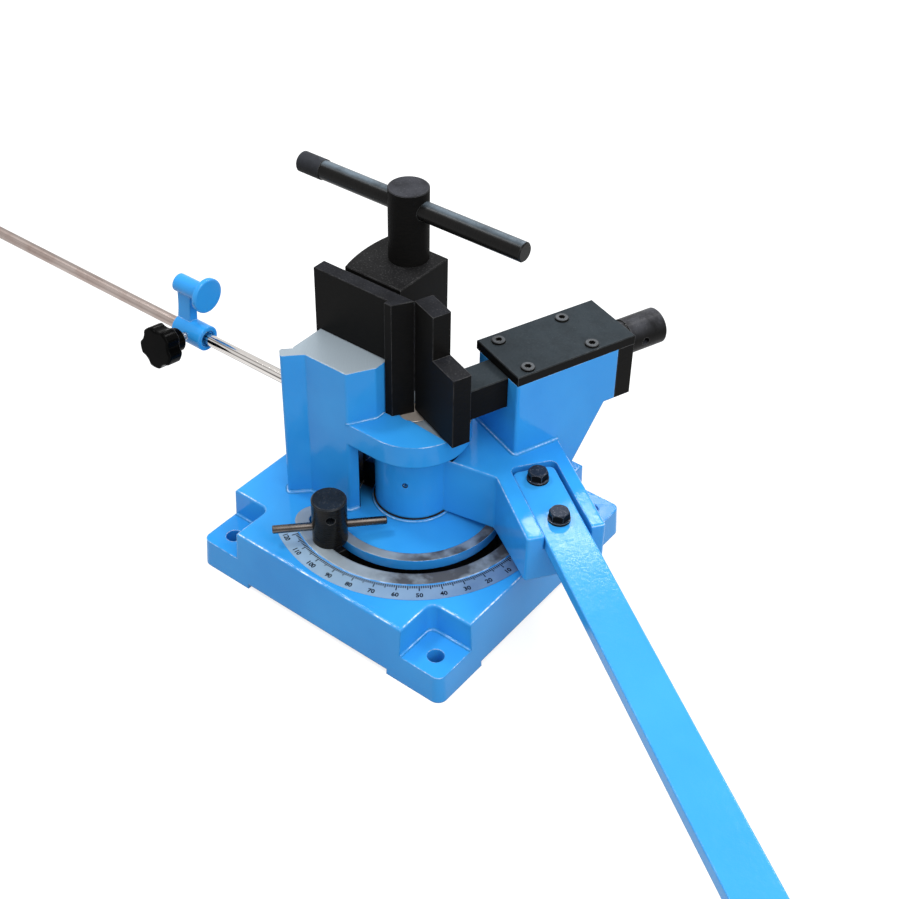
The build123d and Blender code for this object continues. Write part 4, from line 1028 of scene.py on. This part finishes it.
def piece(name: str, meshes: Sequence[Mesh], body: str, finish: Finish) -> None:
    """Joins meshes into one finished piece that rides on a body.

    Args:
        name: The piece's name.
        meshes: What it is made of, in the model's frame.
        body: The body that carries it.
        finish: Its finish.
    """
    work = bmesh.new()
    for mesh in meshes:
        work.from_mesh(mesh)
    bmesh.ops.remove_doubles(work, verts=work.verts, dist=WELD)
    bmesh.ops.recalc_face_normals(work, faces=work.faces)
    whole = bpy.data.meshes.new(name)
    work.to_mesh(whole)
    work.free()
    whole.materials.clear()
    whole.materials.append(finish.material())
    whole.polygons.foreach_set("material_index", [0] * len(whole.polygons))
    whole.shade_smooth()
    whole.set_sharp_from_angle(angle=SHARP_ANGLE)
    made = placed(name, whole)
    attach(made, body)
    LOG.info("built %s with %d faces on %s", name, len(whole.polygons), body)


def rounded(corners: Sequence[Point], steps: int = 6) -> list[Pair]:
    """Rounds the corners of a line.

    Args:
        corners: X, Y and corner radius of each point.
        steps: Straight runs in each rounded corner.

    Returns:
        The line's points.
    """
    line: list[Pair] = []
    for index, (x, y, radius) in enumerate(corners):
        here = Vector((x, y))
        if radius <= 0 or index in (0, len(corners) - 1):
            line.append((x, y))
            continue
        before = (Vector(corners[index - 1][:2]) - here).normalized()
        after = (Vector(corners[index + 1][:2]) - here).normalized()
        half = before.angle(after) / 2
        reach = radius / math.tan(half)
        centre = here + (before + after).normalized() * (radius / math.sin(half))
        first = here + before * reach - centre
        turn = first.angle_signed(here + after * reach - centre)
        for step in range(steps + 1):
            spoke = first.copy()
            spoke.rotate(Matrix.Rotation(-turn * step / steps, 2))
            line.append(tuple(centre + spoke))
    return line


def arc(radius: float, first: float, last: float, steps: int) -> list[Pair]:
    """Part of a circle round the origin.

    Args:
        radius: The circle's radius.
        first: Degrees from X to its start.
        last: Degrees from X to its end.
        steps: Straight runs in it.

    Returns:
        Its points.
    """
    spokes = [math.radians(first + (last - first) * step / steps) for step in range(steps + 1)]
    return [(radius * math.cos(spoke), radius * math.sin(spoke)) for spoke in spokes]


def cove(radius: float, sunk: float = 0.0003, steps: int = 6) -> list[Point]:
    """The profile of a cast fillet between a wall and a floor.

    Args:
        radius: The fillet's radius.
        sunk: How far it reaches into the wall and the floor.
        steps: Straight runs in its curve.

    Returns:
        The profile, with X away from the wall and Y down.
    """
    curve = [(radius - y, x - radius, 0.0) for x, y in arc(radius, 0.0, 90.0, steps)]
    return [(-sunk, sunk, 0.0), (-sunk, -radius, 0.0), *reversed(curve), (radius, sunk, 0.0)]


def swept_fillets(name: str, runs: Sequence[Sequence[Point]], radius: float) -> Mesh:
    """Sweeps a painted cast fillet along lines that keep the wall on their left.

    Args:
        name: The tree's name.
        runs: The lines.
        radius: The fillets' radius.

    Returns:
        The fillets as one mesh.
    """
    profile = wire(name + "_profile", [cove(radius)], closed=True)
    nodes = NodeTree(name, Finish.COVE_ENAMEL)
    nodes.sizes("Object", Profile=profile)
    path = nodes.out("GeometryNodeMeshToCurve", {0: "Geometry"})
    level = nodes.out("GeometryNodeSetCurveNormal", {0: path}, mode="Z_UP")
    shape = nodes.node("GeometryNodeObjectInfo", {"Object": "Profile"}).outputs["Geometry"]
    outline = nodes.out("GeometryNodeMeshToCurve", {0: shape})
    inputs = {"Curve": level, "Profile Curve": outline, "Fill Caps": True}
    mesh = nodes.run(nodes.out("GeometryNodeCurveToMesh", inputs), runs)
    bpy.data.objects.remove(profile)
    return mesh


class SubAssembly:
    """A group of pieces that is dressed and detailed together.

    Attributes:
        finishes: The CAD nodes that wear each finish.
    """

    finishes: ClassVar[Dressing] = {}

    def dress(self) -> None:
        """Gives the group's CAD nodes their finishes."""
        for finish, nodes in self.finishes.items():
            for node in nodes:
                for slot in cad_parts[node].material_slots:
                    slot.material = finish.material()
                LOG.info("dressed %s in %s", node, finish.value.name)

    def build(self) -> None:
        """Adds what the CAD nodes lack, which is nothing unless a group says so."""


@dataclass
class Base(SubAssembly):
    """The base casting with its column, table, slot and degree scale."""

    finishes: ClassVar[Dressing] = {
        Finish.CAST_BASE: ("base_casting",),
        Finish.STRIP: ("degree_scale",),
        Finish.PIN: ("pivot_pin",),
        Finish.GREASE: ("lower_thrust_washer",),
    }
    top: float = 0.063
    table_top: float = 0.172
    foot_top: float = 0.0305
    boss_outside: float = 0.0802
    boss_inside: float = 0.044
    boss_rise: float = 0.005
    recess_edge: float = 0.1014
    recess_corner: float = 0.008
    recess_steps: int = 10
    side: float = 0.1475
    foot_fillet: float = 0.0025
    column_fillet: float = 0.003
    column_corners: tuple[Point, ...] = (
        (-0.102, 0.084, 0.0),
        (-0.102, -0.0555, 0.001),
        (-0.110, -0.0635, 0.003),
        (-0.102, -0.0715, 0.003),
        (-0.0855, -0.055, 0.001),
        (-0.0585, -0.055, 0.0),
        (-0.048, -0.055, 0.0),
        (-0.036, -0.055, 0.003),
        (-0.031, -0.0467, 0.0),
    )
    table_fillet: float = 0.002
    table_corners: tuple[Point, ...] = (
        (-0.0371, -0.0549, 0.0),
        (-0.036, -0.055, 0.003),
        (-0.021, -0.030, 0.003),
        (-0.021, -0.0205, 0.0),
    )
    seat_radius: float = 0.040
    seat_top: float = 0.068
    seat_fillet: float = 0.0022
    seat_end: float = 178.0
    seat_steps: int = 96
    scale_top: float = 0.0636
    scale_inside: float = 0.1224
    scale_zero: float = -1.2
    scale_step: float = 0.96
    scale_last: int = 120
    tick_short: float = 0.0032
    tick_middle: float = 0.005
    tick_long: float = 0.0066
    tick_width: float = 0.00105
    tick_thickness: float = 0.00008
    numeral_every: int = 10
    numeral_radius: float = 0.1347
    numeral_size: float = 0.0068
    numeral_depth: float = 0.00004
    numeral_weight: float = 0.00022
    numeral_steps: int = 3

    def build(self) -> None:
        """Makes the fillets, the scale's ticks and its numerals."""
        name = "base_fillets"
        meshes = [
            swept_fillets(name + "_column", [self.column_foot()], self.column_fillet),
            swept_fillets(name + "_table", [self.column_on_table()], self.table_fillet),
            swept_fillets(name + "_feet", self.feet(), self.foot_fillet),
            swept_fillets(name + "_seat", [self.washer_seat()], self.seat_fillet),
        ]
        piece(name, meshes, "base", Finish.COVE_ENAMEL)
        piece("scale_ticks", [self.ticks()], "base", Finish.INK)
        piece("scale_numerals", self.numerals(), "base", Finish.INK)

    def ground(self, x: float, y: float) -> float:
        """The height of the base's top at a point, on the boss's cone near the pivot."""
        slope = self.boss_rise / (self.boss_outside - self.boss_inside)
        return self.top + max(0.0, self.boss_outside - math.hypot(x, y)) * slope

    def column_foot(self) -> list[Point]:
        """The line where the column and its gusset meet the base."""
        return [(x, y, self.ground(x, y)) for x, y in rounded(self.column_corners)]

    def column_on_table(self) -> list[Point]:
        """The line where the column's chamfer meets the table."""
        return [(x, y, self.table_top) for x, y in rounded(self.table_corners)]

    def washer_seat(self) -> list[Point]:
        """The line round the lower thrust washer, open only behind the hub."""
        line = arc(self.seat_radius, -self.seat_end, self.seat_end, self.seat_steps)
        return [(x, y, self.seat_top) for x, y in line]

    def feet(self) -> list[list[Point]]:
        """The lines round the four corner pads.

        Returns:
            A line for each pad.
        """
        corners = (
            (self.recess_edge, -self.side, 0.0),
            (self.recess_edge, -self.recess_edge, self.recess_corner),
            (self.side, -self.recess_edge, 0.0),
        )
        line = [Vector((x, y, self.foot_top)) for x, y in rounded(corners, self.recess_steps)]
        turns = [Matrix.Rotation(math.radians(90 * quarter), 3, "Z") for quarter in range(4)]
        return [[tuple(turn @ point) for point in line] for turn in turns]

    def ticks(self) -> Mesh:
        """Sets a tick at each division of the scale, longer at the fives and the tens.

        Returns:
            The ticks as one mesh.
        """
        nodes = NodeTree("scale_ticks", Finish.INK)
        nodes.sizes("Int", Count=self.scale_last + 1)
        nodes.sizes(
            "Float",
            Zero=math.radians(self.scale_zero),
            Step=math.radians(self.scale_step),
            Radius=self.scale_inside,
            Top=self.scale_top,
            Short=self.tick_short,
            Middle=self.tick_middle,
            Long=self.tick_long,
            Width=self.tick_width,
            Thickness=self.tick_thickness,
        )

        def every(count: float) -> Socket:
            """1 at the divisions that a count divides."""
            return nodes.near(nodes.math("MODULO", index, count), 0.0, 0.1)

        index = nodes.out("GeometryNodeInputIndex")
        turn = nodes.math("SUBTRACT", "Zero", nodes.times(index, "Step"))
        across, along = (nodes.times(nodes.math(way, turn), "Radius") for way in ("COSINE", "SINE"))
        inputs = {"Count": "Count", "Position": nodes.join(across, along, "Top")}
        points = nodes.out("GeometryNodePoints", inputs)
        length = nodes.mix(every(10.0), nodes.mix(every(5.0), "Short", "Middle"), "Long")
        block = nodes.out("GeometryNodeMeshCube", {"Size": (1.0, 1.0, 1.0)})
        inputs = {0: block, "Translation": (0.5, 0.0, 0.5)}
        block = nodes.out("GeometryNodeTransform", inputs)
        inputs = {"Points": points, "Instance": block, "Rotation": nodes.join(z=turn)}
        inputs["Scale"] = nodes.join(length, "Width", "Thickness")
        return nodes.run(nodes.out("GeometryNodeInstanceOnPoints", inputs))

    def numerals(self) -> list[Mesh]:
        """Writes a number at each tenth division, with its top towards the pivot.

        Returns:
            The numbers as meshes in their places.
        """
        meshes = []
        for value in range(self.numeral_every, self.scale_last + 1, self.numeral_every):
            text = bpy.data.curves.new("numeral", "FONT")
            text.body = str(value)
            text.size = self.numeral_size
            text.align_x = "CENTER"
            text.align_y = "CENTER"
            text.extrude = self.numeral_depth
            text.offset = self.numeral_weight
            text.resolution_u = self.numeral_steps
            mesh = plain_mesh(placed("numeral", text))
            turn = math.radians(self.scale_zero - value * self.scale_step)
            out = Matrix.Translation((self.numeral_radius, 0.0, self.scale_top + self.numeral_depth))
            upright = Matrix.Rotation(math.radians(90), 4, "Z")
            mesh.transform(Matrix.Rotation(turn, 4, "Z") @ out @ upright)
            meshes.append(mesh)
        return meshes


@dataclass
class SwingArm(SubAssembly):
    """The arm casting with its ram box, bracket and hand lever."""

    finishes: ClassVar[Dressing] = {
        Finish.ARM_ENAMEL: ("swing_arm",),
        Finish.BAR_ENAMEL: ("lever",),
        Finish.BRONZE: ("lower_bush", "upper_bush"),
        Finish.STEEL: ("upper_thrust_washer",),
        Finish.BLACK_COVER: ("ram_cover",),
        Finish.BLACK: ("end_plate", "end_plate_screws"),
        Finish.BLACK_CAP: ("cover_screws",),
        Finish.BLACK_BOLT: ("lever_bolts", "lever_washers"),
    }
    bend: float = 20.5
    top: float = 0.135
    fillet: float = 0.003
    box_corners: tuple[Point, ...] = ((-0.001, 0.071, 0.0), (0.066, 0.071, 0.003), (0.066, 0.1205, 0.0))
    hub_radius: float = 0.0385
    hub_arc: Pair = (17.5, 160.0)
    hub_steps: int = 28

    def build(self) -> None:
        """Makes the fillets where the box and the hub stand on the arm."""
        turned = Matrix.Rotation(math.radians(-self.bend), 3, "Z")
        lines = rounded(self.box_corners), arc(self.hub_radius, *self.hub_arc, self.hub_steps)
        runs = [[tuple(turned @ Vector((x, y, self.top))) for x, y in line] for line in lines]
        mesh = swept_fillets("arm_fillets", runs, self.fillet)
        piece("arm_fillets", [mesh], "swing_arm", Finish.COVE_ENAMEL)


@dataclass
class Ram(SubAssembly):
    """The ram, its stepped die and the screw that drives it."""

    finishes: ClassVar[Dressing] = {
        Finish.BLACK_COVER: ("ram",),
        Finish.BLACK: ("stepped_die",),
        Finish.STEEL: ("die_stud", "die_dowels", "screw_collar"),
        Finish.BLACK_SCREW: ("ram_screw",),
    }


@dataclass
class Clamp(SubAssembly):
    """The former plate, the clamp block and its spindle."""

    finishes: ClassVar[Dressing] = {
        Finish.BLACK: ("former_plate", "former_screws"),
        Finish.BLACK_MATT: ("clamp_block",),
        Finish.BLACK_SPINDLE: ("clamp_spindle",),
        Finish.BLACK_BAR: ("clamp_t_bar",),
        Finish.BLACK_ROUND: ("spindle_screw",),
        Finish.STEEL: ("spindle_washer",),
    }


@dataclass
class AngleStop(SubAssembly):
    """The turned post in the annular slot, with its tommy bar."""

    finishes: ClassVar[Dressing] = {
        Finish.BLACK_STOP: ("angle_stop",),
        Finish.BROWNED: ("stop_bar",),
        Finish.BLACK: ("stop_t_bolt",),
    }


@dataclass
class LengthStop(SubAssembly):
    """The sliding length stop on its rod, with its star knob."""

    finishes: ClassVar[Dressing] = {
        Finish.ROD: ("stop_rod",),
        Finish.CAST_ENAMEL: ("length_stop",),
        Finish.KNOB: ("star_knob",),
        Finish.STEEL: ("knob_stud",),
    }
    knob_at: Point = (-0.2448, -0.046, 0.180)
    lean: float = 10.0
    stud_radius: float = 0.0035
    thread_from: float = 0.0135
    thread_to: float = 0.0238
    pitch: float = 0.00125
    ridge: float = 0.00042
    ridge_sides: int = 4
    turn_steps: int = 20

    def build(self) -> None:
        """Winds the thread on the knob's stud."""
        length = self.thread_to - self.thread_from
        nodes = NodeTree("stud_thread", Finish.STEEL)
        turns = length / self.pitch
        nodes.sizes("Float", Turns=turns, Radius=self.stud_radius, Length=length, Ridge=self.ridge)
        inputs = {"Resolution": self.turn_steps, "Rotations": "Turns", "Height": "Length"}
        inputs |= {"Start Radius": "Radius", "End Radius": "Radius"}
        path = nodes.out("GeometryNodeCurveSpiral", inputs)
        inputs = {"Resolution": self.ridge_sides, "Radius": "Ridge"}
        ridge = nodes.out("GeometryNodeCurvePrimitiveCircle", inputs)
        inputs = {"Curve": path, "Profile Curve": ridge, "Fill Caps": True}
        mesh = nodes.run(nodes.out("GeometryNodeCurveToMesh", inputs))
        lean = math.radians(self.lean)
        turn = Vector((0.0, -math.cos(lean), math.sin(lean))).to_track_quat("Z", "Y")
        along = Matrix.Translation((0.0, 0.0, self.thread_from))
        mesh.transform(Matrix.Translation(self.knob_at) @ turn.to_matrix().to_4x4() @ along)
        piece("stud_thread", [mesh], "length_knob", Finish.STEEL)


@dataclass(frozen=True)
class Lamp:
    """A soft lamp with a width and height in metres and a power in watts, which points at a place."""

    name: str
    at: Point
    size: Pair
    power: float
    to: Point = (0.0, 0.0, 0.1)

    def hang(self) -> None:
        """Hangs the lamp."""
        light = bpy.data.lights.new(self.name, "AREA")
        light.shape = "RECTANGLE"
        light.size, light.size_y = self.size
        light.energy = self.power
        made = placed(self.name, light)
        made.location = self.at
        made.rotation_euler = (Vector(self.to) - Vector(self.at)).to_track_quat("-Z", "Y").to_euler()


@dataclass
class Studio:
    """The floor, the soft light and the camera."""

    azimuth: float = 37.94
    elevation: float = 37.10
    roll: float = 0.514
    camera_at: Point = (0.69196, -0.86020, 1.04467)
    focal_pixels: float = 1493.17
    centre_pixels: Pair = (432.54, 379.24)
    image_side: float = 899.0
    sensor: float = 36.0
    fill: float = 0.78
    fill_colour: Colour = (0.97, 0.985, 1.0)
    backdrop: Colour = (1.0, 1.0, 1.0)
    floor_half: float = 6.0
    floor_bounce: Colour = (0.38, 0.38, 0.38)
    floor_seen: Colour = (0.3, 0.3, 0.3)
    floor_glow: float = 0.8
    footprint: float = 0.139
    lamps: tuple[Lamp, ...] = (
        Lamp("left_box", at=(-1.03, -0.23, 2.1), size=(0.4, 0.4), power=15.0),
        Lamp("back_box", at=(0.23, 1.45, 1.85), size=(0.4, 0.4), power=15.0),
        Lamp("overhead", at=(0.85, -0.45, 2.3), size=(1.6, 1.6), power=20.0),
        Lamp("right_box", at=(2.0, -0.6, 1.4), size=(0.9, 0.9), power=12.0),
        Lamp("window", at=(-0.55, 1.197, 1.43), size=(0.26, 0.08), power=2.1, to=(0.2, 0.0, 0.13)),
        Lamp("pane", at=(-0.55, 1.372, 1.295), size=(0.14, 0.1), power=0.8, to=(0.14, 0.13, 0.03)),
    )

    def build(self) -> None:
        """Sets up the stage."""
        self.floor()
        self.world()
        for lamp in self.lamps:
            lamp.hang()
        self.camera()
        bpy.context.scene.view_settings.view_transform = "Standard"

    def seen(self, tree: Wiring) -> Socket:
        """A value of 1 for rays from the camera, mirrors and glass."""
        rays = tree.node("ShaderNodeLightPath").outputs
        return tree.most(rays["Is Camera Ray"], rays["Is Glossy Ray"], rays["Is Transmission Ray"])

    def floor(self) -> None:
        """Lays a white floor that keeps a faint shadow."""
        half = self.floor_half
        mesh = bpy.data.meshes.new("floor")
        corners = [(-half, -half, 0.0), (half, -half, 0.0), (half, half, 0.0), (-half, half, 0.0)]
        mesh.from_pydata(corners, [], [(0, 1, 2, 3)])
        made = placed("floor", mesh)
        material = bpy.data.materials.new("floor_white")
        material.use_nodes = True
        nodes = material.node_tree.nodes
        nodes.remove(nodes["Principled BSDF"])
        tree = Wiring(material.node_tree)
        seen = self.seen(tree)
        tone = tree.blend(seen, self.floor_bounce, self.floor_seen)
        matt = tree.out("ShaderNodeBsdfDiffuse", {"Color": tone})
        power = tree.times(seen, self.floor_glow, self.open_floor(tree))
        glow = tree.out("ShaderNodeEmission", {"Strength": power})
        both = tree.out("ShaderNodeAddShader", {0: matt, 1: glow})
        tree.feed(nodes["Material Output"].inputs["Surface"], both)
        mesh.materials.append(material)

    def open_floor(self, tree: Wiring) -> Socket:
        """A value that is 0 on the floor under the hollow base and 1 elsewhere.

        Args:
            tree: The floor's nodes.

        Returns:
            The value.
        """
        x, y, _ = tree.split(tree.node("ShaderNodeTexCoord").outputs["Object"])
        far = tree.most(tree.math("ABSOLUTE", x), tree.math("ABSOLUTE", y))
        return tree.math("GREATER_THAN", far, self.footprint)

    def world(self) -> None:
        """Lights the scene evenly from all round, before a white backdrop."""
        world = bpy.data.worlds.new("studio")
        bpy.context.scene.world = world
        world.use_nodes = True
        nodes = world.node_tree.nodes
        tree = Wiring(world.node_tree)
        even = nodes["Background"]
        tree.feed(even.inputs["Color"], self.fill_colour)
        tree.feed(even.inputs["Strength"], self.fill)
        white = tree.node("ShaderNodeBackground", {"Color": self.backdrop, "Strength": 1.0})
        inputs = {0: self.seen(tree), 1: even.outputs[0], 2: white.outputs[0]}
        both = tree.out("ShaderNodeMixShader", inputs)
        tree.feed(nodes["World Output"].inputs["Surface"], both)

    def camera(self) -> None:
        """Places the camera at the photographed view."""
        turn, lift, tilt = (math.radians(angle) for angle in (self.azimuth, self.elevation, self.roll))
        flat = math.cos(lift)
        back = Vector((math.sin(turn) * flat, -math.cos(turn) * flat, math.sin(lift)))
        level = Vector((0.0, 0.0, 1.0)).cross(back).normalized()
        upright = back.cross(level)
        right = level * math.cos(tilt) + upright * math.sin(tilt)
        above = upright * math.cos(tilt) - level * math.sin(tilt)
        data = bpy.data.cameras.new("camera")
        data.sensor_width = self.sensor
        data.lens = self.focal_pixels * self.sensor / self.image_side
        data.shift_x = 0.5 - self.centre_pixels[0] / self.image_side
        data.shift_y = self.centre_pixels[1] / self.image_side - 0.5
        made = placed("camera", data)
        place = Matrix((right, above, back)).transposed().to_4x4()
        place.translation = self.camera_at
        made.matrix_world = place
        bpy.context.scene.camera = made


def main() -> None:
    """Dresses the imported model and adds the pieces."""
    logging.basicConfig(level=logging.INFO, format="%(name)s: %(message)s")
    for part in (Base(), SwingArm(), Ram(), Clamp(), AngleStop(), LengthStop()):
        part.dress()
        part.build()
    Studio().build()


if __name__ == "__main__":
    main()
